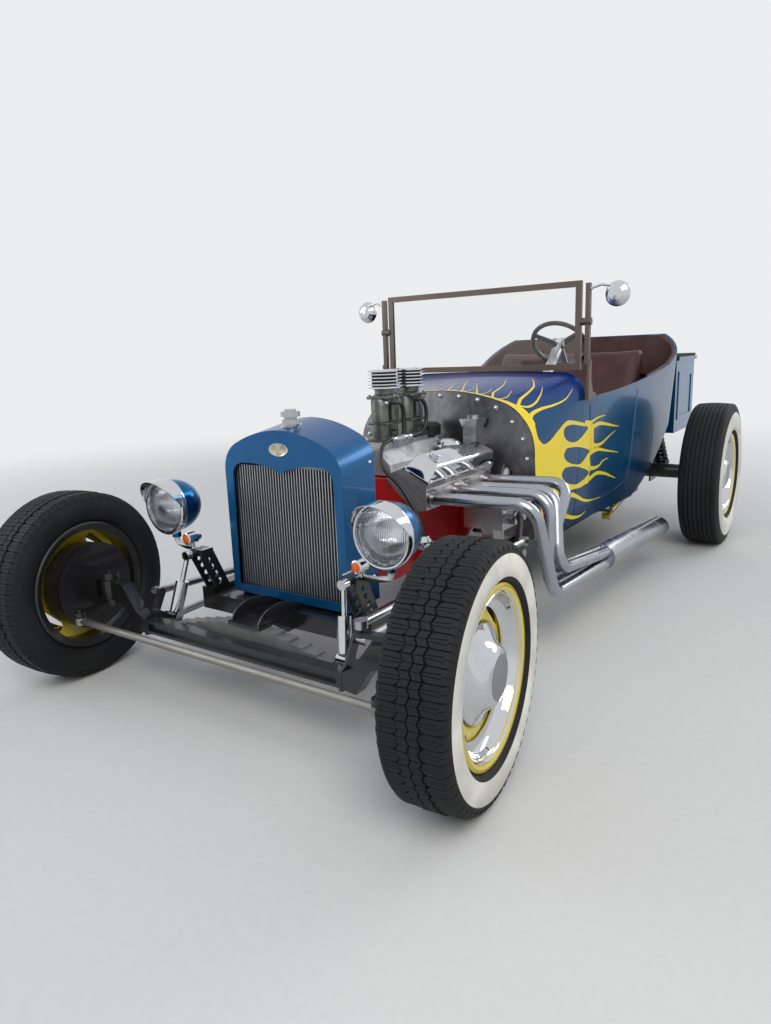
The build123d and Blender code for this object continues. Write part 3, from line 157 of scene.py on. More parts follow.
class Maths:
    """A socket that takes arithmetic: each operator adds a Math node."""

    def __init__(self, tree, socket):
        self.tree = tree
        self.socket = socket

    def apply(self, operation, *others):
        return Tree(self.tree).node("Math", {"operation": operation}, 0, dict(enumerate((self, *others))))

    def __add__(self, other):
        return self.apply("ADD", other)

    def __sub__(self, other):
        return self.apply("SUBTRACT", other)

    def __rsub__(self, other):
        return (self * -1).apply("ADD", other)

    def __mul__(self, other):
        return self.apply("MULTIPLY", other)

    def __abs__(self):
        return self.apply("ABSOLUTE")

    __radd__ = __add__
    __rmul__ = __mul__

    def above(self, edge):
        """1 where the value is greater than the edge."""
        return self.apply("GREATER_THAN", edge)

    def below(self, edge):
        """1 where the value is less than the edge."""
        return self.apply("LESS_THAN", edge)

    def root(self):
        return self.apply("SQRT")

    def sine(self):
        return self.apply("SINE")

    def ramp(self, low, high):
        """0 below low and 1 above high, eased between."""
        eased = {"interpolation_type": "SMOOTHSTEP"}
        return Tree(self.tree).node("MapRange", eased, "Result", Value=self, From_Min=low, From_Max=high)


def feed(tree, socket, value):
    """Links a value's socket, or sets a plain number or colour."""
    if isinstance(value, Maths):
        tree.links.new(value.socket, socket)
    elif hasattr(value, "__len__") and len(value) == 3 and len(socket.default_value) == 4:
        socket.default_value = (*value, 1)
    else:
        socket.default_value = value


class Tree:
    """A node tree and the few nodes that finishes are made of."""

    def __init__(self, tree):
        self.tree = tree

    def node(self, kind, settings=None, out=0, numbered=None, **inputs):
        """Adds one node, sets it, feeds its sockets by number or by name, and gives one of its outputs."""
        made = self.tree.nodes.new("ShaderNode" + kind)
        for name, value in (settings or {}).items():
            setattr(made, name, value)
        for number, value in (numbered or {}).items():
            feed(self.tree, made.inputs[number], value)
        for name, value in inputs.items():
            feed(self.tree, made.inputs[name.replace("_", " ")], value)
        return Maths(self.tree, made.outputs[out]) if made.outputs else None

    def place(self, centre=(0, 0, 0), turn=0.0):
        """Object coordinates counted from a centre and turned about Z."""
        spot = self.node("TexCoord", None, "Object")
        moved = {"vector_type": "TEXTURE"}
        return self.node("Mapping", moved, Vector=spot, Location=centre, Rotation=(0, 0, turn))

    def axes(self, centre=(0, 0, 0), turn=0.0):
        """X, Y and Z as values, counted from a centre and turned about Z."""
        spot = self.place(centre, turn)
        return [self.node("SeparateXYZ", None, i, Vector=spot) for i in range(3)]

    def noise(self, scale, detail=3, spot=None):
        """A cloudy value between 0 and 1."""
        return self.node("TexNoise", None, Vector=spot or self.place(), Scale=scale, Detail=detail)

    def mix(self, share, first, second):
        """A colour between two others."""
        return self.node("Mix", {"data_type": "RGBA"}, 2, {0: share, 6: first, 7: second})

    def blend(self, share, first, second):
        """A number between two others."""
        return share * second + (1 - share) * first

    def bump(self, height, distance, strength=1.0):
        """A normal from a height in metres."""
        return self.node("Bump", None, Height=height, Distance=distance, Strength=strength)


class Finish(Tree):
    """A procedural material: one Principled shader and the nodes that vary it."""

    def __init__(self, name, **sockets):
        self.material = bpy.data.materials.new(name)
        self.material.use_nodes = True
        super().__init__(self.material.node_tree)
        self.shader = self.tree.nodes["Principled BSDF"]
        self.set(**sockets)

    def set(self, **sockets):
        """Feeds the shader's sockets, named with underscores for spaces."""
        for name, value in sockets.items():
            feed(self.tree, self.shader.inputs[name.replace("_", " ")], value)


def shade(value, factor, lift=0.0):
    """A colour made lighter or darker."""
    return [min(1.0, part * factor + lift) for part in value]


def enamel(name, base, deep=None, metallic=0.0, gloss=0.2, flake=0.0, dust=0.15, extra=None, coat=1.0):
    """Gloss paint under clear coat: drifting colour, flake, faint dust and orange peel."""
    fin = Finish(name, Metallic=metallic, Coat_Weight=coat, Coat_Roughness=0.04)
    drift = fin.noise(1.6, 2).ramp(0.35, 0.65)
    tint = fin.mix(drift, base, deep or shade(base, 0.82))
    if flake:
        tint = fin.mix(fin.noise(1100, 1).ramp(0.5, 0.8) * flake, tint, shade(base, 2.2, 0.04))
    film = fin.noise(8, 4).ramp(0.5, 0.85) * dust
    tint = fin.mix(film, tint, shade(base, 1.1, 0.05))
    if extra:
        tint = extra(fin, tint)
    fin.set(Base_Color=tint, Roughness=film * 0.9 + gloss, Normal=fin.bump(fin.noise(190, 1), 0.00005, 0.3))
    return fin.material


def bright(name, base=(0.64, 0.65, 0.68), gloss=0.05, smear=0.1, extra=None):
    """Chrome: a mirror with faint wipe marks."""
    fin = Finish(name)
    marks = fin.noise(13, 5).ramp(0.45, 0.8)
    tint = fin.mix(marks * 0.5, base, shade(base, 0.78))
    rough = marks * smear + gloss
    metal = 1.0
    if extra:
        tint, rough, metal = extra(fin, tint, rough)
    fin.set(Base_Color=tint, Roughness=rough, Metallic=metal, Normal=fin.bump(fin.noise(55, 2), 0.0001, 0.12))
    return fin.material


def satin(name, base, gloss=0.3, grain=(320, 16, 320), depth=0.00004, stain=0.3, extra=None):
    """Drawn or brushed metal with a fine grain."""
    fin = Finish(name, Metallic=1.0)
    lines = fin.noise(1.0, 4, fin.node("Mapping", None, Vector=fin.place(), Scale=grain))
    cloud = fin.noise(7, 3).ramp(0.35, 0.7)
    tint = fin.mix(cloud * stain, base, shade(base, 0.6))
    if extra:
        tint = extra(fin, tint)
    fin.set(Base_Color=tint, Roughness=lines * 0.14 + cloud * 0.1 + (gloss - 0.08),
            Normal=fin.bump(lines, depth, 0.5))
    return fin.material


def cast(name, base, gloss=0.42, metallic=0.9, depth=0.0004, oil=0.5, extra=None):
    """Sand-cast metal: grain, with darker oily patches."""
    fin = Finish(name, Metallic=metallic)
    grain = fin.noise(420, 3)
    patches = fin.noise(22, 5).ramp(0.42, 0.72)
    tint = fin.mix(patches * oil, base, shade(base, 0.3))
    if extra:
        tint = extra(fin, tint)
    fin.set(Base_Color=tint, Roughness=grain * 0.2 + patches * 0.12 + (gloss - 0.1),
            Normal=fin.bump(grain, depth, 0.35))
    return fin.material


def rubber(name, base, gloss=0.62, bloom_lift=0.01):
    """Tyre rubber with dusty bloom and fine moulding grain."""
    fin = Finish(name, Specular_IOR_Level=0.25)
    bloom = fin.noise(6, 4).ramp(0.35, 0.75)
    fin.set(Base_Color=fin.mix(bloom, base, shade(base, 1.5, bloom_lift * 0.4)),
            Roughness=bloom * 0.15 + gloss, Normal=fin.bump(fin.noise(700, 2), 0.0002, 0.4))
    return fin.material


def hide(name, base):
    """Leathercloth: grain of small cells and a worn sheen."""
    fin = Finish(name, Specular_IOR_Level=0.3)
    cells = fin.node("TexVoronoi", {"feature": "DISTANCE_TO_EDGE"}, Vector=fin.place(), Scale=620)
    wear = fin.noise(9, 4).ramp(0.4, 0.75)
    fin.set(Base_Color=fin.mix(wear, base, shade(base, 1.5, 0.008)), Roughness=wear * 0.14 + 0.42,
            Normal=fin.bump(cells.ramp(0.0, 0.35), 0.00025, 0.6))
    return fin.material


def clear(name, base, rough=0.02, ribs=0.0):
    """Glass, with moulded ribs where it is a lens."""
    fin = Finish(name, Transmission_Weight=1.0, IOR=1.46, Base_Color=base)
    fin.set(Roughness=fin.noise(12, 4).ramp(0.5, 0.85) * 0.06 + rough)
    if ribs:
        x = fin.axes()[0]
        fin.set(Normal=fin.bump((x * (tau / ribs)).sine(), 0.0005, 0.4))
    return fin.material


# Pieces

def linked(name, data):
    """A new object in the scene."""
    made = bpy.data.objects.new(name, data)
    bpy.context.scene.collection.objects.link(made)
    return made


def keep(name, bm, materials, body, slot, replaces=(), sharp=35):
    """Makes a piece of a bmesh: linked, shaded, painted and riding on its body."""
    mesh = bpy.data.meshes.new(name)
    bm.to_mesh(mesh)
    bm.free()
    for material in materials if isinstance(materials, (list, tuple)) else [materials]:
        mesh.materials.append(material)
    mesh.shade_smooth()
    mesh.set_sharp_from_angle(angle=radians(sharp))
    piece = linked(name, mesh)
    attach(piece, body)
    if replaces:
        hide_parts(*replaces)
    return piece


def build(shape, name, *where):
    """A piece from a function that fills an empty bmesh."""
    bm = bmesh.new()
    shape(bm)
    keep(name, bm, *where)


def spun(bm, points, steps, closed=True):
    """Turns (x, radius) points, in millimetres, about X."""
    verts = [bm.verts.new((x * MM, 0, r * MM)) for x, r in points]
    edges = [bm.edges.new(pair) for pair in zip(verts, verts[1:])]
    if closed:
        edges.append(bm.edges.new((verts[-1], verts[0])))
    old = set(bm.faces)
    bmesh.ops.spin(bm, geom=verts + edges, cent=(0, 0, 0), axis=(1, 0, 0), angle=tau, steps=steps,
                   use_merge=True)
    made = [face for face in bm.faces if face not in old]
    bmesh.ops.recalc_face_normals(bm, faces=made)
    return made


def turned(bm, points, steps, matrix):
    """A solid of revolution about the matrix's X axis, from (x, radius) points in millimetres."""
    old = set(bm.verts)
    spun(bm, points, steps, closed=False)
    made = [vert for vert in bm.verts if vert not in old]
    bmesh.ops.remove_doubles(bm, verts=made, dist=1e-6)
    made = [vert for vert in bm.verts if vert not in old]
    bmesh.ops.recalc_face_normals(bm, faces=list({face for vert in made for face in vert.link_faces}))
    bmesh.ops.transform(bm, matrix=matrix, verts=made)


def skin(bm, rows, closed=False):
    """Bridges each row of points to the next, and gives the rows' vertices and the new faces."""
    old = set(bm.faces)
    chains = []
    lines = []
    for row in rows:
        verts = [bm.verts.new(point) for point in row]
        chains.append(verts)
        after = verts[1:] + verts[:1] if closed else verts[1:]
        lines.append([bm.edges.new(pair) for pair in zip(verts, after)])
    for first, second in zip(lines, lines[1:]):
        bmesh.ops.bridge_loops(bm, edges=first + second)
    return chains, [face for face in bm.faces if face not in old]


def capped(bm, rings):
    """A closed skin over rings of points, with a face at either end."""
    chains, faces = skin(bm, rings, True)
    faces += [bm.faces.new(chains[0]), bm.faces.new(chains[-1])]
    bmesh.ops.recalc_face_normals(bm, faces=faces)


def extruded(bm, ring, push):
    """A solid from a ring of points and a push: its first face and the edges of its far face."""
    face = bm.faces.new([bm.verts.new(point) for point in ring])
    grown = bmesh.ops.extrude_face_region(bm, geom=[face])["geom"]
    far_side = [item for item in grown if isinstance(item, bmesh.types.BMVert)]
    bmesh.ops.translate(bm, vec=push, verts=far_side)
    return face, [item for item in grown if isinstance(item, bmesh.types.BMEdge)]


def broken(bm, edges, offset, segments):
    """Bevels edges, the offset in metres."""
    return bmesh.ops.bevel(bm, geom=edges, offset=offset, offset_type="OFFSET", affect="EDGES",
                           segments=segments, profile=0.5, material=-1)


def headings(line):
    """Each point of a line with the line's direction there."""
    last = len(line) - 1
    return [(point, (line[min(i + 1, last)] - line[max(i - 1, 0)]).normalized())
            for i, point in enumerate(line)]


def placed(spot, turn, axis="Z"):
    """A frame at a spot, turned about one axis."""
    return Matrix.Translation(spot) @ Matrix.Rotation(turn, 4, axis)


def wheel_frame(corner):
    """A wheel's frame: origin at its centre and X outboard along its spin axis."""
    joint = next(j for j in frame["joints"] if j["name"] == "wheel_" + corner + "_spin")
    out = Vector(joint["axis"]) * (1 if corner.endswith("l") else -1)
    return placed(middle("tyre_" + corner), atan2(out.y, out.x))


def paints():
    """The colours set in the panel."""
    return bpy.context.scene.hot_rod_paint


def ring_share(fin, centre, turn):
    """Outboard reach and radius about a wheel's axle, both in metres."""
    x, y, z = fin.axes(centre, turn)
    return x, (y * y + z * z).root()


# Finishes of the CAD pieces

def pair_axes(fin, spot):
    """X, Y and Z in metres from the nearer of two spots that mirror each other."""
    x, y, z = fin.axes((0, at(*spot).y, spot[2] * MM))
    return abs(x) - spot[0] * MM, y, z


def wheel_finish(corner):
    """Yellow disc and rim outboard, a black line round the rim, black drum and inside."""
    matrix = wheel_frame(corner)
    turn = matrix.to_euler().z

    def extra(fin, tint):
        out, reach = ring_share(fin, tuple(matrix.translation), turn)
        line = reach.above(0.2105) * reach.below(0.2122)
        yellow = out.above(0.004) * (1 - line)
        return fin.mix(yellow, shade(paints().chassis, 1.0, 0.004), tint)

    return enamel("wheel_" + corner, paints().wheel, gloss=0.3, extra=extra, coat=0.25)


def body_painted_shade(fin, tint):
    """Painted shade on the teal-blue pearl: the sides darken away from a bright middle, and the cowl top
    turns a deeper blue.
    """
    x, y, z = fin.axes()
    # painted shade: the cowl top darkens to the deep blue by height
    top = z.ramp(0.80, 0.93) * (1 - y.ramp(-0.10, 0.25))
    # painted highlight and shade: the side stays bright teal round its middle and darkens towards its edges
    along, up = (y - 0.42) * 0.8, (z - 0.70) * 2.2
    edge = (along * along + up * up).root().ramp(0.2, 0.75) * y.below(1.425)
    return fin.mix(top, fin.mix(edge * 0.85, tint, (0.001, 0.042, 0.125)), paints().top_shade_blue)


def shell_cap_and_shade(fin, tint):
    """A deeper blue painted as shade on the shell's upper part, with a bright cap and neck."""
    x, y, z = fin.axes((0, at(0, CAP_Y, 0).y, 0))
    cap = (x * x + y * y).below(0.034 ** 2) * z.above(0.8455)
    # painted shade: the shell darkens towards the deep blue higher up
    shaded_top = fin.mix(z.ramp(0.76, 0.9) * 0.35, tint, paints().top_shade_blue)
    return fin.mix(cap, shaded_top, (0.42, 0.43, 0.45))


def lamp_tints(fin, tint, rough):
    """A blue bowl behind a bright ring, visor and reflector."""
    x, y, z = pair_axes(fin, LAMP)
    reach = x * x + z * z
    shell = reach * (1 / 0.086 ** 2) + y * y * (1 / 0.109 ** 2)
    bowl = y.above(0.0085) * shell.above(1.08)
    return fin.mix(bowl, tint, paints().shell), fin.blend(bowl, rough, 0.2), fin.blend(bowl, 1.0, 0.92)


def signal_tints(fin, tint, rough):
    """A small amber lens in a bright bullet."""
    x, y, z = pair_axes(fin, SIGNAL)
    amber = (x * x + z * z).below(0.0150 ** 2) * y.below(-0.024)
    return fin.mix(amber, tint, (0.66, 0.10, 0.006)), fin.blend(amber, rough, 0.15), 1 - amber


def exhaust_tints(fin, tint):
    """Straw and blue by the ports."""
    x = abs(fin.axes()[0])
    heat = 1 - x.ramp(0.29, 0.40)
    blue = 1 - x.ramp(0.28, 0.32)
    warm = fin.mix(heat * 0.3, tint, (0.42, 0.30, 0.16))
    return fin.mix(blue * 0.2, warm, (0.12, 0.13, 0.28))


def block_tints(fin, tint):
    """Black pulleys before a red block."""
    return fin.mix(fin.axes()[1].below(AXLE_Y + 0.622), tint, (0.02, 0.02, 0.022))


def firewall_tints(fin, tint):
    """Hand-brushed swirls."""
    swirl = fin.node("TexNoise", None, Vector=fin.place(), Scale=5, Detail=2, Distortion=5.0)
    return fin.mix(swirl.ramp(0.4, 0.6) * 0.35, tint, (0.42, 0.42, 0.44))


def stand_tints(fin, tint):
    """Bright pins, heads and lamp arms above black drilled plates."""
    return fin.mix(fin.axes()[2].above(0.4525), tint, (0.75, 0.76, 0.78))


def core_and_painted_shade(fin, tint):
    """Bright fin edges before a near-black core: the core's own dark, and painted shade deep between the
    fins.
    """
    # the core's dark and painted shade: everything behind the fins' front edges goes near black
    return fin.mix(fin.axes()[1].above(at(0, 254.6, 0).y), tint, (0.012, 0.012, 0.013))


def cleaner_tints(fin, tint, rough):
    """A dark filter between chrome rings."""
    x, y, z = fin.axes((0, at(0, sum(CARBURETTORS) / 2, 0).y, 0.973))
    reach = abs(y) - 0.085
    dark = (x * x + reach * reach).below(0.0462 ** 2) * abs(z).below(0.0285)
    return fin.mix(dark, tint, (0.01, 0.01, 0.011)), fin.blend(dark, rough, 0.7), 1 - dark


def hose_tints(fin, tint):
    """Bright fittings at the tee."""
    y, z = fin.axes()[1:]
    fitting = y.above(at(0, 758, 0).y) * y.below(at(0, 888, 0).y) * z.above(0.744) * z.below(0.770)
    return fin.mix(fitting, tint, (0.42, 0.42, 0.43))


def helm_tints(fin, tint, rough):
    """A dark rim round bright spokes and hub."""
    x, y, z = fin.axes(tuple(at(290, 1800, 1075)))
    rim = (x * x + y * y + z * z).above(0.111 ** 2)
    return fin.mix(rim, tint, (0.03, 0.014, 0.006)), fin.blend(rim, rough, 0.18), 1 - rim


def cad_finishes():
    """The finish of every CAD node that stays in view."""
    p = paints()
    black = enamel("chassis_black", p.chassis, shade(p.chassis, 1.4), 0.0, 0.3, coat=0.3)
    chrome = bright("chrome")
    steel = satin("steel", (0.5, 0.5, 0.52), 0.26)
    alloy = cast("alloy", (0.50, 0.50, 0.51), 0.4)
    blue = enamel("body_blue", p.body, shade(p.body, 0.8), 0.45, 0.25, 0.12, 0.04, body_painted_shade, 0.3)
    leather = hide("hide", p.hide)
    table = {
        ("body_tub", "bed"): blue,
        ("radiator_shell",): enamel("shell_blue", p.shell, shade(p.shell, 0.8), 0.6, 0.28, 0.15, 0.04,
                                    shell_cap_and_shade, 0.25),
        ("headlamps",): bright("lamp_blue", extra=lamp_tints),
        ("signal_lamps",): bright("signal_finish", extra=signal_tints),
        ("exhaust",): satin("exhaust_finish", (0.40, 0.42, 0.46), 0.2, (40, 40, 40), 0.00001, 0.08,
                            exhaust_tints),
        ("engine_block",): cast("block_finish", p.engine, 0.3, 0.0, 0.0005, 0.35, block_tints),
        ("firewall",): satin("firewall_finish", (0.26, 0.26, 0.27), 0.3, (40, 40, 40), 0.0001, 0.5,
                             firewall_tints),
        ("headlamp_lenses",): clear("lens", (0.93, 0.96, 0.97), 0.02, 0.0055),
        ("windshield_glass",): clear("glass", (0.96, 0.98, 0.975)),
        ("frame", "front_axle", "knuckle_l", "knuckle_r", "rear_axle", "pitman_arm", "coilovers"): black,
        ("lamp_stands",): enamel("stand_finish", p.chassis, shade(p.chassis, 1.4), 0.0, 0.3,
                                 extra=stand_tints, coat=0.3),
        ("front_shocks", "fan", "valve_covers", "breather", "mirrors"): chrome,
        ("air_cleaners",): bright("cleaner_finish", extra=cleaner_tints),
        ("radius_rods", "drag_link", "steering_column"): steel,
        ("tie_rod",): satin("rod_grey", (0.30, 0.285, 0.265), 0.42, (90, 30, 90), 0.00005),
        ("front_spring",): cast("spring_grey", (0.20, 0.20, 0.20), 0.5, 0.35, 0.0003, 0.4),
        ("cylinder_heads", "intake", "gearbox"): alloy,
        ("radiator_core",): satin("core_finish", (0.55, 0.56, 0.58), 0.34, extra=core_and_painted_shade),
        ("master_cylinder",): satin("sheet_metal", (0.46, 0.46, 0.47), 0.28, (50, 50, 50)),
        ("carburettors",): cast("dark_cast", (0.155, 0.165, 0.15), 0.38, 0.85, 0.0003, 0.75),
        ("distributor",): rubber("black_plastic", (0.012, 0.012, 0.012), 0.4, 0.004),
        ("ladder_bars",): enamel("bar_yellow", shade(p.wheel, 0.7)),
        ("floor", "seat_riser"): rubber("mat", (0.012, 0.012, 0.013), 0.8),
        ("windshield_frame",): satin("bronze", p.bronze, 0.36, (200, 200, 200)),
        ("seat", "trim"): leather,
        ("bed_cover",): rubber("tonneau", (0.02, 0.021, 0.023), 0.7),
        ("tail_lamps",): enamel("red_lens", (0.35, 0.004, 0.004), gloss=0.1),
        ("steering_wheel",): bright("helm_finish", (0.7, 0.71, 0.73), 0.12, extra=helm_tints),
    }
    for corner in CORNERS:
        table[("wheel_" + corner,)] = wheel_finish(corner)
    return table


class HOTROD_OT_finish(bpy.types.Operator):
    """Paint the CAD pieces"""

    bl_idname = "hot_rod.finish"
    bl_label = "CAD finishes"

    def execute(self, context):
        for names, material in cad_finishes().items():
            for name in names:
                mesh = nodes[name].data
                mesh.materials.clear()
                mesh.materials.append(material)
        return {"FINISHED"}


# Tyres

FRONT_SIDE = ((60, 207), (63, 219), (71, 223), (79, 229), (83, 234), (87, 252), (88, 266), (86.5, 279),
              (84, 288), (80, 299), (75, 309))
REAR_SIDE = ((70, 207), (73, 219), (82, 223), (91, 229), (96, 234), (101, 258), (102.5, 285), (101, 305),
             (98, 325), (94, 345), (89, 361))


def tyre_shell(bm, side, tread, steps, band):
    """The casing: both sides and the base of the tread, with the white band outboard."""
    left = [(-x, r) for x, r in reversed(side)]
    for face in spun(bm, [*side, *tread, *left], steps):
        middle_point = face.calc_center_median()
        reach = sqrt(middle_point.y ** 2 + middle_point.z ** 2)
        if middle_point.x > 0 and band[0] < reach < band[1]:
            face.material_index = 1


def cells_of(seed):
    """The vertices, edges and faces joined to a face."""
    part = set(seed.verts)
    newest = part
    while newest:
        newest = {edge.other_vert(vert) for vert in newest for edge in vert.link_edges} - part
        part |= newest
    edges = {edge for vert in part for edge in vert.link_edges}
    faces = {face for vert in part for face in vert.link_faces}
    return list(part), list(edges), list(faces)


def ring_of(bm, seed, shift, count):
    """Turns a finished block by a share of a pitch and repeats it round the tyre."""
    verts, edges, faces = cells_of(seed)
    bmesh.ops.recalc_face_normals(bm, faces=faces)
    bmesh.ops.rotate(bm, verts=verts, cent=(0, 0, 0), matrix=Matrix.Rotation(shift * tau / count, 3, "X"))
    bmesh.ops.spin(bm, geom=verts + edges + faces, cent=(0, 0, 0), axis=(1, 0, 0),
                   angle=tau * (count - 1) / count, steps=count - 1, use_duplicate=True)


def lug(bm, outline, low, high, shift, count):
    """A ring of bevelled blocks from an outline of (x, along) points between two radii."""
    ring = [(x * MM, s * MM, low * MM) for x, s in outline]
    face, rim = extruded(bm, ring, (0, 0, (high - low) * MM))
    broken(bm, rim, 0.6 * MM, 1)
    ring_of(bm, face, shift, count)


CHEVRON = (((-1.7, 0.5), (19.8, 0.5), (26.8, 15.9), (5.2, 15.9)),
           ((-1.7, -0.5), (5.2, -15.9), (26.8, -15.9), (19.8, -0.5)))
LOBE = (((23.6, 3.6), (25.2, 7), (30.6, 13.4), (37, 15.9), (66, 15.9), (66, 5.6)),
        ((22.6, -2.6), (22.6, 2.6), (66, 4.6), (66, -4.6)),
        ((23.6, -3.6), (66, -5.6), (66, -15.9), (37, -15.9), (30.6, -13.4), (25.2, -7)))


def crown(x):
    """The front tyre's tread radius at a distance from its middle, in millimetres."""
    return 320.4 - 3 * (x / 65) ** 2


def front_tread(bm, count, depth):
    """Chevrons either side of a zigzag groove, and outside them slit lobes that turn onto the shoulders."""
    for side, shift in ((1, 0.0), (-1, 0.5)):
        for parts, spot in ((CHEVRON, 13), (LOBE, 58)):
            for part in parts:
                top = crown(spot)
                outline = [(side * x, s) for x, s in part]
                lug(bm, outline, top - depth - 4, top - spot * 0.015 - 0.2, shift, count)
        for turn, reach in ((-0.24, 82.5), (0.24, 80.5)):
            shoulder_lug(bm, side, reach, 7.3, shift + turn, count)


def shoulder_lug(bm, side, reach, half, shift, count):
    """A ring of blocks that turn the corner of the tread."""
    section = ((66, 308), (66, 315.8), (74, 311.8), (reach - 1, 302), (reach, 296), (reach - 6, 294))
    ring = [(side * x * MM, -half * MM, r * MM) for x, r in section]
    ring_of(bm, extruded(bm, ring, (0, 2 * half * MM, 0))[0], shift, count)


def rear_crown(ribs, depth):
    """Ribbed tread points from the left shoulder to the right, inside the CAD tyre's crown."""
    half, groove = 84, 4.5
    pitch = 2 * half / ribs
    points = []
    for i in range(ribs):
        start = half - i * pitch
        end = start - pitch + groove
        marks = [(start, 0), (end, 0)]
        if i < ribs - 1:
            marks += [(end, depth), (end - groove, depth)]
        points += [(x, 373.6 - 6 * (x / 88) ** 2 - low) for x, low in marks]
    return [(x + 0.01 * i, r) for i, (x, r) in enumerate(points)]


class HOTROD_OT_tyres(bpy.types.Operator):
    """Build the tyres: staggered blocks in front, ribs behind, a white band outboard"""

    bl_idname = "hot_rod.tyres"
    bl_label = "Tyres"

    def execute(self, context):
        sizes = context.scene.hot_rod_wheels
        materials = [rubber("tyre_rubber", paints().rubber),
                     rubber("whitewall", paints().whitewall, 0.5, 0.02)]
        depth = sizes.tread_depth / MM
        band = (sizes.band_in, sizes.band_out)
        for corner in CORNERS:
            bm = bmesh.new()
            if corner[0] == "f":
                base = [(66, 315 - depth), (0, 320 - depth), (-66, 315 - depth)]
                tyre_shell(bm, FRONT_SIDE, base, 96, band)
                front_tread(bm, sizes.pitches, depth)
            else:
                tyre_shell(bm, REAR_SIDE, rear_crown(sizes.ribs, depth + 1), 112, (band[0], band[1] + 0.034))
            bmesh.ops.transform(bm, matrix=wheel_frame(corner), verts=bm.verts)
            body = "road_wheel_" + corner
            keep("tyre_skin_" + corner, bm, materials, body, "tyre_rubber", ["tyre_" + corner])
        return {"FINISHED"}


# Wheel dressing

CAP = ((29, 30), (29, 119), (32, 121.5), (37, 119), (42, 108), (49, 94), (58, 83), (68, 75), (75, 70),
       (79, 64), (81, 57), (82, 55))
LIPS = {"f": 71.8, "r": 82.8}
FACE = ((82, 55), (82.6, 53), (82.2, 50), (82, 0))
STEM = ((0, 0), (0, 5), (12, 5), (12, 4), (24, 4), (24, 5.4), (38, 5.4), (40, 3), (40, 0))


class HOTROD_OT_wheel_trim(bpy.types.Operator):
    """Fit bright rings, hub caps and valve stems"""

    bl_idname = "hot_rod.wheel_trim"
    bl_label = "Wheel trim"

    def execute(self, context):
        materials = [bright("cap_chrome"), satin("cap_face", (0.30, 0.30, 0.31), 0.35, (260, 260, 260))]
        for corner in CORNERS:
            lip = LIPS[corner[0]]
            matrix = wheel_frame(corner)
            bm = bmesh.new()
            ring = ((lip - 2, 200.5), (lip - 0.6, 199), (lip - 2.6, 196), (lip - 6.8, 192), (lip - 14, 188.4),
                    (46, 185.5), (38, 181), (32, 172), (29, 158), (27.6, 158), (30, 173), (36.4, 182.4),
                    (46, 187), (lip - 14, 189.8), (lip - 8, 193.4), (lip - 4.4, 197.4), (lip - 3, 200.5),
                    (lip - 2, 200.5))
            turned(bm, ring, 96, matrix)
            turned(bm, CAP, 96, matrix)
            before = set(bm.faces)
            turned(bm, FACE, 96, matrix)
            for face in bm.faces:
                if face not in before:
                    face.material_index = 1
            stem_spot = Matrix.Rotation(radians(118), 4, "X") @ Matrix.Translation((0.036, 0.168, 0))
            turned(bm, STEM, 16, matrix @ stem_spot)
            keep("wheel_trim_" + corner, bm, materials, "road_wheel_" + corner, "chrome")
        return {"FINISHED"}


# Flames

BASE = ((1302, 376), (1268, 450), (1240, 554), (1231, 667), (1213, 748), (1202, 806), (1222, 812),
        (1258, 800), (1260, 770), (1256, 742), (1256, 724), (1264, 708), (1287, 692), (1327, 699),
        (1376, 731), (1425, 762), (1452, 770), (1490, 766), (1545, 756), (1600, 745), (1655, 741),
        (1674, 728), (1682, 700), (1690, 662), (1699, 638), (1690, 618), (1664, 604), (1668, 588),
        (1680, 562), (1686, 540), (1676, 516), (1684, 496), (1650, 478), (1600, 468), (1540, 470),
        (1492, 468), (1468, 458), (1448, 440), (1434, 415), (1438, 384), (1424, 364), (1370, 352))
HOLES = (
    ((1424, 723), (1430, 740), (1448, 748), (1490, 750), (1560, 738), (1623, 726), (1590, 700), (1538, 677),
     (1495, 676), (1458, 686), (1435, 702)),
    ((1438, 630), (1446, 646), (1463, 656), (1536, 652), (1600, 640), (1652, 624), (1636, 602), (1584, 575),
     (1525, 580), (1476, 595), (1448, 612)),
    ((1429, 550), (1440, 566), (1464, 575), (1539, 569), (1605, 552), (1658, 534), (1652, 508), (1572, 489),
     (1520, 494), (1477, 508), (1444, 528)),
)
TONGUES = (
    (15, ((1590, 751), (1650, 746), (1700, 757), (1745, 762), (1790, 762))),
    (22, ((1655, 718), (1700, 729), (1749, 731), (1842, 716), (1900, 706), (1962, 698))),
    (20, ((1688, 640), (1740, 636), (1792, 643), (1855, 664), (1925, 682))),
    (22, ((1655, 606), (1700, 616), (1750, 616), (1801, 607), (1890, 590), (1988, 573))),
    (18, ((1680, 540), (1730, 536), (1772, 540), (1813, 557), (1872, 562))),
    (24, ((1640, 484), (1680, 492), (1757, 508), (1852, 491), (1920, 470), (1988, 449))),
    (26, ((1440, 430), (1480, 448), (1535, 446), (1590, 426), (1652, 402), (1730, 390), (1822, 389))),
    (24, ((1420, 370), (1480, 364), (1542, 346), (1590, 338), (1635, 338), (1678, 350))),
    (15, ((1212, 793), (1245, 790), (1280, 813), (1330, 828), (1385, 837), (1452, 856), (1510, 894))),
)
FLAME_START = 1231
CREASE = 1566
TUB_HALF, TUB_LOW, TUB_MIDDLE = 0.62, 0.3, 0.55
OUTBOARD = 0.9


def smooth_line(points, closed, parts=6):
    """Points along a Catmull-Rom curve through the given ones."""
    count = len(points)
    result = []
    for i in range(count if closed else count - 1):
        spots = [(i + k) % count if closed else min(max(i + k, 0), count - 1) for k in (-1, 0, 1, 2)]
        around = [points[spot] for spot in spots]
        for step in range(parts):
            t = step / parts
            result.append(tuple(0.5 * (2 * b + (c - a) * t + (2 * a - 5 * b + 4 * c - d) * t * t
                                       + (3 * b - a - 3 * c + d) * t ** 3) for a, b, c, d in zip(*around)))
    if not closed:
        result.append(tuple(points[-1]))
    return result


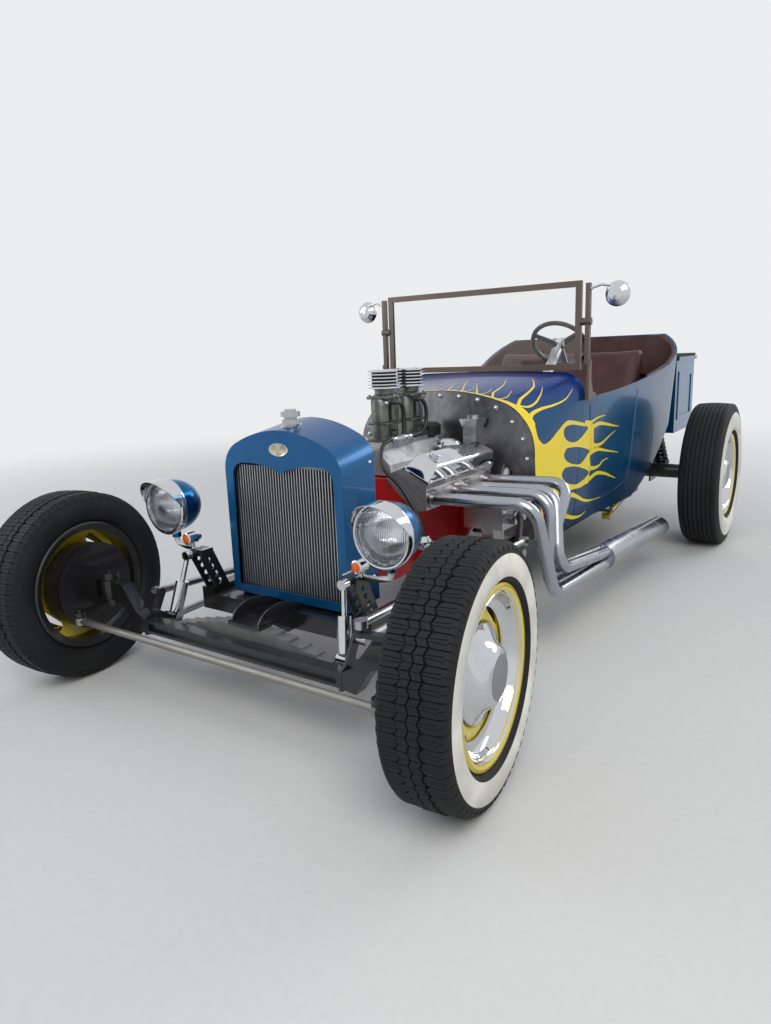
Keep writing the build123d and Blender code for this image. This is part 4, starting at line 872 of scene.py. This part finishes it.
def tapered(points, width):
    """The outline of a stroke that narrows to a tip."""
    line = headings([Vector(point) for point in smooth_line(points, False)])
    left, right = [], []
    for i, (point, along) in enumerate(line):
        share = 1 - i / (len(line) - 1)
        offset = Vector((-along.y, along.x)) * (width / 2 * share ** 0.8 + 0.4)
        left.append(tuple(point + offset))
        right.append(tuple(point - offset))
    return left + right[::-1]


def filled(outlines, cell, start=None):
    """A flat mesh of 2D outlines with their holes, cut by a grid so that it can follow a curved panel."""
    curve = bpy.data.curves.new("outline", "CURVE")
    curve.dimensions = "2D"
    curve.fill_mode = "BOTH"
    for outline in outlines:
        spline = curve.splines.new("POLY")
        spline.points.add(len(outline) - 1)
        for point, (u, v) in zip(spline.points, outline):
            point.co = (u * MM, v * MM, 0, 1)
        spline.use_cyclic_u = True
    holder = bpy.data.objects.new("outline", curve)
    mesh = bpy.data.meshes.new_from_object(holder)
    bm = bmesh.new()
    bm.from_mesh(mesh)
    for data, store in ((holder, bpy.data.objects), (curve, bpy.data.curves), (mesh, bpy.data.meshes)):
        store.remove(data)
    if start is not None:
        bmesh.ops.bisect_plane(bm, geom=bm.verts[:] + bm.edges[:] + bm.faces[:], dist=1e-6, clear_inner=True,
                               plane_co=(start * MM, 0, 0), plane_no=(1, 0, 0))
    for axis, normal in ((0, (1, 0, 0)), (1, (0, 1, 0))):
        low = min(vert.co[axis] for vert in bm.verts)
        high = max(vert.co[axis] for vert in bm.verts)
        cuts = [low + cell * MM * (i + 1) for i in range(int((high - low) / (cell * MM)))]
        for spot in cuts + ([CREASE * MM] if axis == 0 else []):
            bmesh.ops.bisect_plane(bm, geom=bm.verts[:] + bm.edges[:] + bm.faces[:], dist=1e-6,
                                   plane_co=[spot * part for part in normal], plane_no=normal)
    return bm


def surface_of(*pieces):
    """A tree for casting rays at pieces."""
    verts, faces = [], []
    for piece in pieces:
        mesh = piece.data
        base = len(verts)
        verts.extend(vert.co.copy() for vert in mesh.vertices)
        faces.extend([base + i for i in face.vertices] for face in mesh.polygons)
    return BVHTree.FromPolygons(verts, faces)


def lay(bm, tree, ray, proud):
    """Casts a flat piece onto a panel along each point's own ray, standing a little proud of it."""
    gone = []
    for vert in bm.verts:
        start, along = ray(vert.co)
        hit = tree.ray_cast(start, along)[0]
        if hit is None or abs(hit.x) > TUB_HALF or hit.z < TUB_LOW:
            gone.append(vert)
        else:
            vert.co = hit - along * (proud + vert.co.z)
    bmesh.ops.delete(bm, geom=gone, context="VERTS")


def side_ray(side):
    """Rays from outboard for (y, z) points."""
    return lambda flat: (Vector((side * OUTBOARD, flat.x + AXLE_Y, flat.y)), Vector((-side, 0, 0)))


def arch_ray(side):
    """Rays down onto the cowl, toward a line inside the car, for (millimetres round the arch, y) points."""
    def ray(flat):
        lean = flat.x / ARCH_REACH * side
        along = Vector((-sin(lean), 0, -cos(lean)))
        return Vector((0, flat.y + AXLE_Y, ARCH_MIDDLE)) - along * OUTBOARD, along
    return ray


def face_away(bm):
    """Turns every face of a laid piece away from the car's middle line."""
    for face in bm.faces:
        out = face.calc_center_median() - Vector((0, face.calc_center_median().y, TUB_MIDDLE))
        if face.normal.dot(out) < 0:
            face.normal_flip()


def joined(parts):
    """One bmesh of several, each freed."""
    whole = bmesh.new()
    for bm in parts:
        mesh = bpy.data.meshes.new("part")
        bm.to_mesh(mesh)
        bm.free()
        whole.from_mesh(mesh)
        bpy.data.meshes.remove(mesh)
    return whole


def flame_finish():
    """Flat yellow that warms upward, under clear coat."""
    fin = Finish("flame_yellow", Coat_Weight=0.3, Coat_Roughness=0.04)
    drift = fin.noise(5, 3).ramp(0.35, 0.7)
    z = fin.axes()[2]
    warm = fin.mix(z.ramp(0.35, 0.8) * 0.35, paints().flame, (0.86, 0.52, 0.015))
    fin.set(Base_Color=fin.mix(drift * 0.3, warm, shade(paints().flame, 0.85)), Roughness=drift * 0.08 + 0.2,
            Normal=fin.bump(fin.noise(190, 1), 0.00005, 0.3))
    return fin.material


ARCH_REACH, ARCH_MIDDLE = 0.3, 0.6
ARCH_BAND = ((0, 1232), (120, 1232), (210, 1232), (290, 1232), (345, 1232), (352, 1262), (322, 1264),
             (296, 1262), (272, 1252), (210, 1243), (120, 1240), (0, 1240))
LICKS = (
    (5, ((30, 1236), (17, 1280), (8, 1330), (6, 1372))),
    (4, ((34, 1236), (47, 1252), (50, 1280), (43, 1312))),
    (6, ((90, 1236), (75, 1276), (48, 1345), (27, 1420))),
    (4, ((92, 1236), (106, 1252), (110, 1282), (101, 1318))),
    (6, ((152, 1236), (142, 1256), (121, 1294), (84, 1368))),
    (4, ((152, 1236), (168, 1250), (173, 1280), (165, 1318))),
    (7, ((209, 1238), (190, 1276), (186, 1318), (178, 1374), (157, 1441))),
    (5, ((209, 1238), (229, 1246), (236, 1270), (231, 1294), (222, 1330))),
    (9, ((284, 1250), (269, 1282), (264, 1300), (258, 1345), (250, 1390), (239, 1421), (221, 1464))),
    (7, ((282, 1256), (297, 1282), (296, 1318), (287, 1351), (276, 1382), (262, 1414))),
)
DOOR = ((1623, 819), (1636, 760), (1652, 660), (1662, 560), (1668, 470), (1680, 424), (1720, 402),
        (1790, 392), (1880, 392), (1990, 402), (2090, 419), (2136, 440), (2154, 480), (2158, 600),
        (2158, 740), (2160, 850))
RIDGE = ((-1, 0), (-0.55, 0.75), (0, 1), (0.55, 0.75), (1, 0))


def strokes(shapes, ray, tree, cell, raise_by, start=None):
    """Filled outlines laid on a panel, each a hair above the one before."""
    parts = []
    for i, outlines in enumerate(shapes):
        bm = filled(outlines, cell, start)
        lay(bm, tree, ray, (raise_by + 0.03 * i) * MM)
        parts.append(bm)
    return parts


class HOTROD_OT_flames(bpy.types.Operator):
    """Lay the painted flames on both body sides and over the cowl"""

    bl_idname = "hot_rod.flames"
    bl_label = "Flames"

    def execute(self, context):
        door_lines = [bpy.data.objects["door_line_" + letter] for letter, _ in SIDES]
        tree = surface_of(nodes["body_tub"], *door_lines)
        material = flame_finish()
        for letter, side in SIDES:
            shapes = [[smooth_line(BASE, True, 4), *(smooth_line(hole, True, 4) for hole in HOLES)]]
            shapes += [[tapered(points, width)] for width, points in TONGUES]
            parts = strokes(shapes, side_ray(side), tree, 8, 0.7, FLAME_START)
            licks = [[smooth_line(ARCH_BAND, True, 4)]]
            licks += [[tapered(points, width)] for width, points in LICKS]
            parts += strokes(licks, arch_ray(side), tree, 9, 0.6)
            whole = joined(parts)
            bmesh.ops.recalc_face_normals(whole, faces=whole.faces)
            face_away(whole)
            keep("flames_" + letter, whole, material, "chassis", "body_paint", sharp=60)
        return {"FINISHED"}


def raised_line(points, half, height, ray, tree):
    """A rounded ridge along a line of points, laid on a panel."""
    bm = bmesh.new()
    rows = []
    for point, along in headings([Vector(point) * MM for point in smooth_line(points, False, 8)]):
        sideways = Vector((-along.y, along.x)) * half * MM
        rows.append([(*(point + sideways * share), rise * height * MM) for share, rise in RIDGE])
    skin(bm, rows)
    lay(bm, tree, ray, -0.2 * MM)
    bmesh.ops.recalc_face_normals(bm, faces=bm.faces)
    face_away(bm)
    return bm


class HOTROD_OT_body_lines(bpy.types.Operator):
    """Press the door outlines into both body sides"""

    bl_idname = "hot_rod.body_lines"
    bl_label = "Body lines"

    def execute(self, context):
        tree = surface_of(nodes["body_tub"])
        material = nodes["body_tub"].data.materials[0]
        for letter, side in SIDES:
            bm = raised_line(DOOR, 9, 3.0, side_ray(side), tree)
            keep("door_line_" + letter, bm, material, "chassis", "body_paint", sharp=60)
        return {"FINISHED"}


# Headlamps

BOWL = ((118, 0), (117, 14), (113, 34), (104, 52), (90, 66), (74, 76), (55, 84), (34, 88), (14, 90),
        (10.5, 90.6), (9, 93.6), (5, 95.4), (-2, 96), (-9, 95), (-13, 93), (-15, 89.5), (-14, 85.4), (10, 85),
        (30, 82.6), (52, 78), (75, 62), (92, 36), (100, 0))
FOOT = ((-12, 0), (-12, 15), (12, 15), (12, 0))
LENS = ((-24, 0), (-22.9, 20), (-20, 40), (-15.6, 56), (-10, 70), (-2, 84), (2.4, 84), (-5.6, 70), (-11, 56),
        (-15.4, 40), (-18.2, 20), (-19.2, 0))


def visor(bm, matrix, steps=48, rows=6):
    """A thin peak round the ring's upper half that runs forward to a point."""
    rows_of = []
    for i in range(steps + 1):
        lean = pi * i / steps
        reach = 5 + 55.6 * sin(lean)
        row = []
        for k in range(rows + 1):
            radius = 95.6 - 2.6 * k / rows
            spot = Vector((-4 - reach * k / rows, radius * cos(lean), radius * sin(lean)))
            row.append(matrix @ (spot * MM))
        rows_of.append(row)
    faces = skin(bm, rows_of)[1]
    bmesh.ops.recalc_face_normals(bm, faces=faces)
    bmesh.ops.solidify(bm, geom=faces, thickness=2 * MM)


class HOTROD_OT_headlamps(bpy.types.Operator):
    """Turn the headlamp bowls, rings and peaks"""

    bl_idname = "hot_rod.headlamps"
    bl_label = "Headlamps"

    def execute(self, context):
        bowls, lenses = bmesh.new(), bmesh.new()
        for _, side in SIDES:
            matrix = placed(at(side * LAMP[0], *LAMP[1:]), pi / 2)
            turned(bowls, BOWL, 80, matrix)
            visor(bowls, matrix)
            foot = at(side * LAMP[0], LAMP[1] + 30, LAMP[2] - 98)
            turned(bowls, FOOT, 24, placed(foot, pi / 2, "Y"))
            turned(lenses, LENS, 80, matrix)
        blue = bright("lamp_blue", extra=lamp_tints)
        keep("headlamp_skins", bowls, blue, "chassis", "chrome", ["headlamps"])
        glass = nodes["headlamp_lenses"].data.materials[0]
        keep("lens_skins", lenses, glass, "chassis", "lens", ["headlamp_lenses"])
        return {"FINISHED"}


# Engine pieces

def slab(bm, low, high, edge=1.5, matrix=Matrix()):
    """A block between two corners in millimetres, with its edges broken."""
    size = [(b - a) * MM for a, b in zip(low, high)]
    centre = Vector([(a + b) / 2 * MM for a, b in zip(low, high)])
    shape = Matrix.Translation(centre) @ Matrix.Diagonal((*size, 1))
    made = bmesh.ops.create_cube(bm, size=1, matrix=shape)["verts"]
    edges = list({item for vert in made for item in vert.link_edges})
    bmesh.ops.transform(bm, matrix=matrix, verts=broken(bm, edges, edge * MM, 2)["verts"])


def column(bm, x, y, profile, steps=32):
    """A turned piece on an upright axis from (z, radius) points."""
    turned(bm, profile, steps, placed(at(x, y, 0), -pi / 2, "Y"))


def pipe(bm, points, radius, steps=14):
    """A round hose along a smooth curve through (x, y, z) points."""
    rings = []
    turns = [tau * k / steps for k in range(steps)]
    side_on = Vector((0, 0, 1))
    for point, along in headings([at(*point) for point in smooth_line(points, False, 7)]):
        side_on = (side_on - along * side_on.dot(along)).normalized()
        up = along.cross(side_on)
        rings.append([point + (side_on * cos(turn) + up * sin(turn)) * radius * MM for turn in turns])
    capped(bm, rings)


COVER_LEVELS = ((0, 0, 0, 4, 0), (5, 0, 0, 4, 0), (5.2, 11, 12, 4, 0), (50, 24, 48, 5, 4),
                (54.5, 27, 52, 5, 4), (58.5, 32, 60, 5, 4), (61, 40, 72, 5, 4), (62, 52, 90, 5, 4))
OIL_CAP = ((0, 0), (0, 15), (4, 15), (5, 18), (13, 18), (14, 16), (14, 0))


def rounded(width, length, corner, out, level):
    """A ring of points round a rounded oblong."""
    ring = []
    for k, (a, b) in enumerate(((1, 1), (-1, 1), (-1, -1), (1, -1))):
        for step in range(5):
            lean = pi / 2 * (k + step / 4)
            ring.append(Vector((out + a * (width / 2 - corner) + corner * cos(lean),
                                b * (length / 2 - corner) + corner * sin(lean), level)) * MM)
    return ring


def cover_frame(side):
    """A valve cover's frame: origin in the middle of its foot, X outboard and Z out of the engine."""
    x_axis = Vector((side * cos(COVER_LEAN), 0, -sin(COVER_LEAN)))
    z_axis = Vector((side * sin(COVER_LEAN), 0, cos(COVER_LEAN)))
    turn = Matrix((x_axis, z_axis.cross(x_axis), z_axis)).transposed().to_4x4()
    return Matrix.Translation(at(side * COVER[0], *COVER[1:])) @ turn


def valve_covers(bm):
    """Smooth covers, each with a crowned roof, two long ribs and an oil cap."""
    for _, side in SIDES:
        matrix = cover_frame(side)
        capped(bm, [[matrix @ point for point in rounded(113.6 - narrow, 490 - short, corner, out, level)]
                    for level, narrow, short, corner, out in COVER_LEVELS])
        for level in (17, 31):
            slab(bm, (34 - level * 0.25, -186, level), (54 - level * 0.25, 186, level + 5), 1.2, matrix)
        turned(bm, OIL_CAP, 28, matrix @ placed((-0.006 * side, -0.153, 0.061), -pi / 2, "Y"))


SCREW = ((911, 0), (911, 4.5), (916, 4.5), (916.5, 3.5), (916.5, 0))
STOREYS = ((46, 54, 745, 761), (29, 42, 759, 811), (40, 52, 808, 817), (30, 43, 815, 903), (42, 56, 901, 912))


def carburettors(bm):
    """Two in line."""
    for y in CARBURETTORS:
        carburettor(bm, y)


def carburettor(bm, y):
    """An upright body: base, throttle body, round float bowls, bowl cover and horn."""
    upright = Matrix.Translation(at(0, y, 0))
    for half, long_half, low, high in STOREYS:
        slab(bm, (-half, -long_half, low), (half, long_half, high), 1.5, upright)
    for end in (-1, 1):
        column(bm, 0, y + end * 26, ((760, 0), (760, 32), (809, 32), (809, 0)))
        column(bm, 0, y + end * 30, ((816, 0), (816, 30), (820, 34), (896, 34), (902, 31), (902, 0)))
        for side in (-1, 1):
            column(bm, side * 36, y + end * 6, ((825, 0), (825, 8), (883, 8), (883, 0)), 16)
            for spot in (-46, 46):
                column(bm, side * 34, y + spot, SCREW, 8)
    column(bm, 0, y, ((909, 0), (909, 44), (913, 42), (919, 36), (932, 35), (933, 40), (938, 40), (938, 0)))
    turned(bm, ((-52, 0), (-52, 5), (52, 5), (52, 0)), 14, Matrix.Translation(at(0, y, 787)))


PUMP = ((406, 0), (406, 22), (418, 30), (430, 30), (430, 34), (436, 34), (440, 28), (452, 18), (452, 0))
HOSES = (
    (7.5, ((33, 778, 890), (64, 778, 890), (66, 792, 889), (66, 824, 880), (65, 842, 850), (64, 842, 800),
           (64, 838, 764))),
    (7.5, ((33, 948, 890), (64, 948, 890), (66, 964, 889), (66, 988, 872), (65, 1002, 830), (65, 990, 785),
           (64, 950, 762), (64, 880, 757))),
    (9.5, ((64, 762, 757), (64, 800, 757), (64, 885, 757))),
    (7.5, ((64, 764, 757), (68, 735, 757), (74, 690, 748), (88, 652, 715), (120, 634, 665), (180, 626, 620),
           (222, 626, 566), (250, 630, 510), (262, 634, 460), (262, 640, 440))),
)


def hoses(bm):
    """Fuel hoses from the pump to a tee and from the tee to both bowls."""
    for radius, points in HOSES:
        pipe(bm, points, radius)


def fuel_pump(bm):
    """The pump on its arm, with the tee's collars and the unions at the bowls."""
    for y in (772, 842, 873):
        turned(bm, ((-6, 0), (-6, 12), (6, 12), (6, 0)), 18, placed(at(TEE[0], y, TEE[1]), pi / 2))
    for y in CARBURETTORS:
        turned(bm, ((32, 0), (32, 9.5), (46, 9.5), (46, 0)), 6, Matrix.Translation(at(0, y - 38, 890)))
    column(bm, 262, 640, PUMP)
    turned(bm, ((110, 0), (110, 12), (262, 12), (262, 0)), 20, Matrix.Translation(at(0, 662, 430)))


class HOTROD_OT_engine_dressing(bpy.types.Operator):
    """Shape the valve covers, the carburettors, the fuel hoses and the fuel pump"""

    bl_idname = "hot_rod.engine_dressing"
    bl_label = "Engine dressing"

    def execute(self, context):
        chrome = nodes["breather"].data.materials[0]
        metal = nodes["carburettors"].data.materials[0]
        build(valve_covers, "valve_cover_skins", chrome, "chassis", "chrome", ["valve_covers"], 18)
        build(carburettors, "carburettor_skins", metal, "chassis", "cast_iron", ["carburettors"])
        rubber_black = cast("hose_finish", (0.012, 0.012, 0.013), 0.4, 0.0, 0.0001, 0.2, hose_tints)
        build(hoses, "fuel_hoses", rubber_black, "chassis", "black_plastic")
        build(fuel_pump, "fuel_pump", chrome, "chassis", "chrome")
        return {"FINISHED"}


# Seat

PAD_HALF, PAD_INSET = 430, 9
PAD_EDGE = 0.024
PAD_CELL = 0.012
PAD_RISE = 0.014
PAD_PRESSURE = 4
PAD_STEPS = 20
CUSHION = ((2120, 470), (2560, 470), (2560, 600), (2120, 600))
SQUAB = ((2470, 601), (2590, 601), (2800, 1040), (2700, 1050))


def settled(piece, low, high):
    """Puffs a closed piece up as stuffed cloth, no point moving further than the rise or out of a box."""
    scene = bpy.context.scene
    rest = [vert.co.copy() for vert in piece.data.vertices]
    cloth = piece.modifiers.new("cloth", "CLOTH")
    cloth.settings.use_pressure = True
    cloth.settings.uniform_pressure_force = PAD_PRESSURE
    cloth.settings.effector_weights.gravity = 0
    cloth.point_cache.frame_start = 1
    cloth.point_cache.frame_end = PAD_STEPS
    for step in range(1, PAD_STEPS + 1):
        scene.frame_set(step)
    puffed = piece.evaluated_get(bpy.context.evaluated_depsgraph_get()).to_mesh()
    moved = [vert.co.copy() for vert in puffed.vertices]
    piece.modifiers.remove(cloth)
    scene.frame_set(1)
    for vert, start, end in zip(piece.data.vertices, rest, moved):
        shift = end - start
        shift *= min(1.0, PAD_RISE / max(shift.length, 1e-9))
        vert.co = [min(max(part, a), b) for part, a, b in zip(start + shift, low, high)]


def pad(name, profile):
    ys, zs = zip(*profile)
    middle_y, middle_z = sum(ys) / 4, sum(zs) / 4
    bm = bmesh.new()
    ring = []
    for y, z in profile:
        y += PAD_INSET if y < middle_y else -PAD_INSET
        z += PAD_INSET if z < middle_z else -PAD_INSET
        ring.append(at(PAD_INSET - PAD_HALF, y, z))
    extruded(bm, ring, (2 * (PAD_HALF - PAD_INSET) * MM, 0, 0))
    bmesh.ops.recalc_face_normals(bm, faces=bm.faces)
    broken(bm, bm.edges[:], PAD_EDGE, 3)
    piece = keep(name, bm, hide(name, paints().hide), "chassis", "upholstery", ["seat"], 60)
    mesher = piece.modifiers.new("remesh", "REMESH")
    mesher.mode = "VOXEL"
    mesher.voxel_size = PAD_CELL
    old = piece.data
    piece.data = bpy.data.meshes.new_from_object(piece.evaluated_get(bpy.context.evaluated_depsgraph_get()))
    piece.modifiers.clear()
    bpy.data.meshes.remove(old)
    settled(piece, at(-PAD_HALF, min(ys), min(zs)), at(PAD_HALF, max(ys), max(zs)))
    piece.data.shade_smooth()
    smoother = piece.modifiers.new("smooth", "SUBSURF")
    smoother.levels = smoother.render_levels = 1


class HOTROD_OT_seat(bpy.types.Operator):
    """Stuff the bench cushion and its squab"""

    bl_idname = "hot_rod.seat"
    bl_label = "Seat"

    def execute(self, context):
        pad("seat_cushion", CUSHION)
        pad("seat_squab", SQUAB)
        return {"FINISHED"}


# Small bright pieces

NUT_SPOTS = ((0, 884), (88, 881), (172, 868), (252, 838), (322, 782), (366, 716), (384, 640), (393, 560),
             (397, 470))
RIVET_SPOTS = ((372, 742), (372, 560), (372, 380))
OVAL = ((0, 0), (0, 39), (1.6, 39), (2.6, 37.635), (2.6, 35.1), (2.0, 33.54), (2.4, 0))
DOME = ((0, 0), (0, 1), (0.25, 1), (0.3, 0.82), (0.7, 0.66), (0.93, 0.36), (1, 0))


def dome(bm, centre, along, radius, height, steps=20):
    """A small round-headed nut or rivet standing along a direction."""
    points = [(height * rise, radius * share) for rise, share in DOME]
    turn = Vector(along).to_track_quat("X", "Z").to_matrix().to_4x4()
    turned(bm, points, steps, Matrix.Translation(centre) @ turn)


PERCH = ((32, 281), (37, 296), (48, 312), (66, 325), (92, 333), (122, 336), (152, 334), (184, 326),
         (212, 314), (231, 304), (231, 270), (150, 262), (112, 268), (88, 279))


def perch_plates(bm):
    """Two curved gussets that stand on the spring clamp and run back to the shell."""
    for _, side in SIDES:
        extruded(bm, [at(side * 52, y, z) for y, z in PERCH], (side * 0.006, 0, 0))
    bmesh.ops.recalc_face_normals(bm, faces=bm.faces)
    broken(bm, [edge for edge in bm.edges if edge.calc_face_angle(0) > 1.3], 0.001, 2)


def nuts_and_rivets(bm):
    """Acorn nuts round the firewall's edge and rivets down the shell's sides."""
    wall = surface_of(nodes["firewall"])
    shell = surface_of(nodes["radiator_shell"])
    for x, z in NUT_SPOTS:
        for side in sorted({1, -1 if x else 1}):
            hit = wall.ray_cast(at(side * x, 1000, z), Vector((0, 1, 0)))[0]
            dome(bm, hit, (0, -1, 0), 8.5, 13)
    for _, side in SIDES:
        for y, z in RIVET_SPOTS:
            hit = shell.ray_cast(at(side * 400, y, z), Vector((-side, 0, 0)))[0]
            dome(bm, hit, (side, 0, 0), 6.5, 7)


def cover_bolts(bm):
    """Four bolts along each edge of both valve covers."""
    for _, side in SIDES:
        matrix = cover_frame(side)
        for y in (-0.222, -0.074, 0.074, 0.222):
            for x in (-0.0525, 0.0525):
                dome(bm, matrix @ Vector((x, y, 0.0045)), matrix.col[2].to_3d(), 5, 6, 12)


def oval_plate(bm):
    """A bare oval on the shell's brow: bright rim, plain field."""
    spun(bm, OVAL, 48, closed=False)
    bmesh.ops.remove_doubles(bm, verts=bm.verts, dist=1e-6)
    bmesh.ops.recalc_face_normals(bm, faces=bm.faces)
    for face in bm.faces:
        spot = face.calc_center_median()
        face.material_index = int(spot.x > 0.0019 and sqrt(spot.y ** 2 + spot.z ** 2) < 0.0335)
    on_shell = Matrix(((0, 1, 0, 0), (-1, 0, 0, at(0, 233.05, 0).y), (0, 0, 0.52, 0.786), (0, 0, 0, 1)))
    bmesh.ops.transform(bm, matrix=on_shell, verts=bm.verts)


class HOTROD_OT_fasteners(bpy.types.Operator):
    """Fit acorn nuts, rivets, cover bolts, the perch plates and the plain oval plate"""

    bl_idname = "hot_rod.fasteners"
    bl_label = "Fasteners"

    def execute(self, context):
        chrome = nodes["valve_covers"].data.materials[0]
        black = nodes["frame"].data.materials[0]
        plate = [chrome, satin("plate_cream", (0.55, 0.50, 0.36), 0.4)]
        build(nuts_and_rivets, "acorn_nuts", chrome, "chassis", "chrome")
        build(cover_bolts, "cover_bolts", chrome, "chassis", "chrome")
        build(perch_plates, "perch_plates", black, "chassis", "chassis_black")
        build(oval_plate, "oval_plate", plate, "chassis", "chrome")
        return {"FINISHED"}


# Stage

CAMERA_SPOT = (1.504, -2.9709, 1.058)
CAMERA_AZIMUTH = 34.72
CAMERA_PITCH = 12.38
CAMERA_ROLL = -2.13
CAMERA_LENS = 25.17


def photo_camera():
    """The camera at the photograph's view."""
    turn, dip, roll = radians(CAMERA_AZIMUTH), radians(CAMERA_PITCH), radians(CAMERA_ROLL)
    ahead = Vector((-sin(turn) * cos(dip), cos(turn) * cos(dip), -sin(dip)))
    right = Vector((cos(turn), sin(turn), 0))
    up = right.cross(ahead)
    right_rolled = right * cos(roll) + up * sin(roll)
    up_rolled = up * cos(roll) - right * sin(roll)
    data = bpy.data.cameras.new("photo_view")
    data.lens = CAMERA_LENS
    data.clip_end = 200
    camera = linked("photo_view", data)
    axes = Matrix((right_rolled, up_rolled, -ahead)).transposed()
    camera.matrix_world = Matrix.Translation(CAMERA_SPOT) @ axes.to_4x4()
    bpy.context.scene.camera = camera


def area_light(name, spot, aim, size, power, tint=(1, 1, 1)):
    """A soft panel of light that faces its aim."""
    data = bpy.data.lights.new(name, "AREA")
    data.shape = "RECTANGLE"
    data.size, data.size_y = size
    data.energy = power
    data.color = tint
    facing = (Vector(aim) - Vector(spot)).to_track_quat("-Z", "Y")
    linked(name, data).matrix_world = Matrix.Translation(spot) @ facing.to_matrix().to_4x4()


def set_world():
    """Pale for the camera and for reflections, a soft sky for the light."""
    world = bpy.data.worlds.new("studio")
    world.use_nodes = True
    bpy.context.scene.world = world
    world.node_tree.nodes.clear()
    tree = Tree(world.node_tree)
    high = tree.node("SeparateXYZ", None, 2, Vector=tree.node("TexCoord", None, "Generated"))
    sky = tree.mix(high.ramp(-0.2, 0.9), (0.42, 0.41, 0.40), (0.62, 0.66, 0.72))
    kinds = ("Is Camera Ray", "Is Glossy Ray", "Is Transmission Ray")
    rays = [tree.node("LightPath", None, kind) for kind in kinds]
    lit = tree.node("Background", None, Color=sky, Strength=1.0)
    pale = tree.node("Background", None, Color=bpy.context.scene.hot_rod_stage.backdrop, Strength=1.0)
    mixed = tree.node("MixShader", None, 0, {0: sum(rays).above(0.5), 1: lit, 2: pale})
    tree.node("OutputWorld", Surface=mixed)


class HOTROD_OT_stage(bpy.types.Operator):
    """Set the floor, the lights, the background and the camera"""

    bl_idname = "hot_rod.stage"
    bl_label = "Stage"

    def execute(self, context):
        bm = bmesh.new()
        bmesh.ops.create_grid(bm, x_segments=1, y_segments=1, size=60)
        mesh = bpy.data.meshes.new("floor_plane")
        bm.to_mesh(mesh)
        bm.free()
        fin = Finish("pale_floor", Specular_IOR_Level=0.0)
        grain = fin.noise(40, 4)
        tone = context.scene.hot_rod_stage.floor
        x, y, z = fin.axes()
        far = (x * x + y * y).root().ramp(2.3, 8)
        near_tone = fin.mix(grain.ramp(0.3, 0.7) * 0.5, tone, shade(tone, 0.95))
        fin.set(Base_Color=fin.mix(far, near_tone, (0, 0, 0)), Roughness=grain * 0.1 + 0.8,
                Emission_Color=fin.mix(far, (0, 0, 0), context.scene.hot_rod_stage.backdrop),
                Emission_Strength=1.0)
        mesh.materials.append(fin.material)
        floor = linked("floor_plane", mesh)
        area_light("key", (3.5, -4.5, 5.0), (0, 0, 0.5), (3.5, 3.5), 230, (1, 0.97, 0.92))
        area_light("fill", (-5.0, -3.5, 3.0), (0, -0.5, 0.5), (4, 3), 90, (0.9, 0.95, 1))
        area_light("rim", (3.0, 5.5, 4.0), (0, 0.5, 0.6), (5, 2), 130)
        set_world()
        photo_camera()
        context.scene.view_settings.view_transform = "Standard"
        return {"FINISHED"}


class HOTROD_PT_panel(bpy.types.Panel):
    """Lists the steps of the dressing"""

    bl_label = "Hot Rod"
    bl_idname = "HOTROD_PT_panel"
    bl_space_type = "VIEW_3D"
    bl_region_type = "UI"
    bl_category = "Hot Rod"

    def draw(self, context):
        for operator in OPERATORS:
            self.layout.operator(operator.bl_idname)
        for group in (context.scene.hot_rod_paint, context.scene.hot_rod_wheels, context.scene.hot_rod_stage):
            for name in group.bl_rna.properties.keys():
                if name not in ("rna_type", "name"):
                    self.layout.prop(group, name)


GROUPS = (("hot_rod_paint", HotRodPaint), ("hot_rod_wheels", HotRodWheels), ("hot_rod_stage", HotRodStage))
OPERATORS = (HOTROD_OT_finish, HOTROD_OT_tyres, HOTROD_OT_wheel_trim, HOTROD_OT_body_lines, HOTROD_OT_flames,
             HOTROD_OT_headlamps, HOTROD_OT_engine_dressing, HOTROD_OT_seat, HOTROD_OT_fasteners,
             HOTROD_OT_stage)


def register():
    for name, group in GROUPS:
        bpy.utils.register_class(group)
        setattr(bpy.types.Scene, name, PointerProperty(type=group))
    for kind in (*OPERATORS, HOTROD_PT_panel):
        bpy.utils.register_class(kind)


def unregister():
    for kind in (HOTROD_PT_panel, *reversed(OPERATORS)):
        bpy.utils.unregister_class(kind)
    for name, group in reversed(GROUPS):
        delattr(bpy.types.Scene, name)
        bpy.utils.unregister_class(group)


def main():
    register()
    for operator in OPERATORS:
        step = operator.bl_idname.split(".")[1]
        getattr(bpy.ops.hot_rod, step)()


if __name__ == "__main__":
    main()
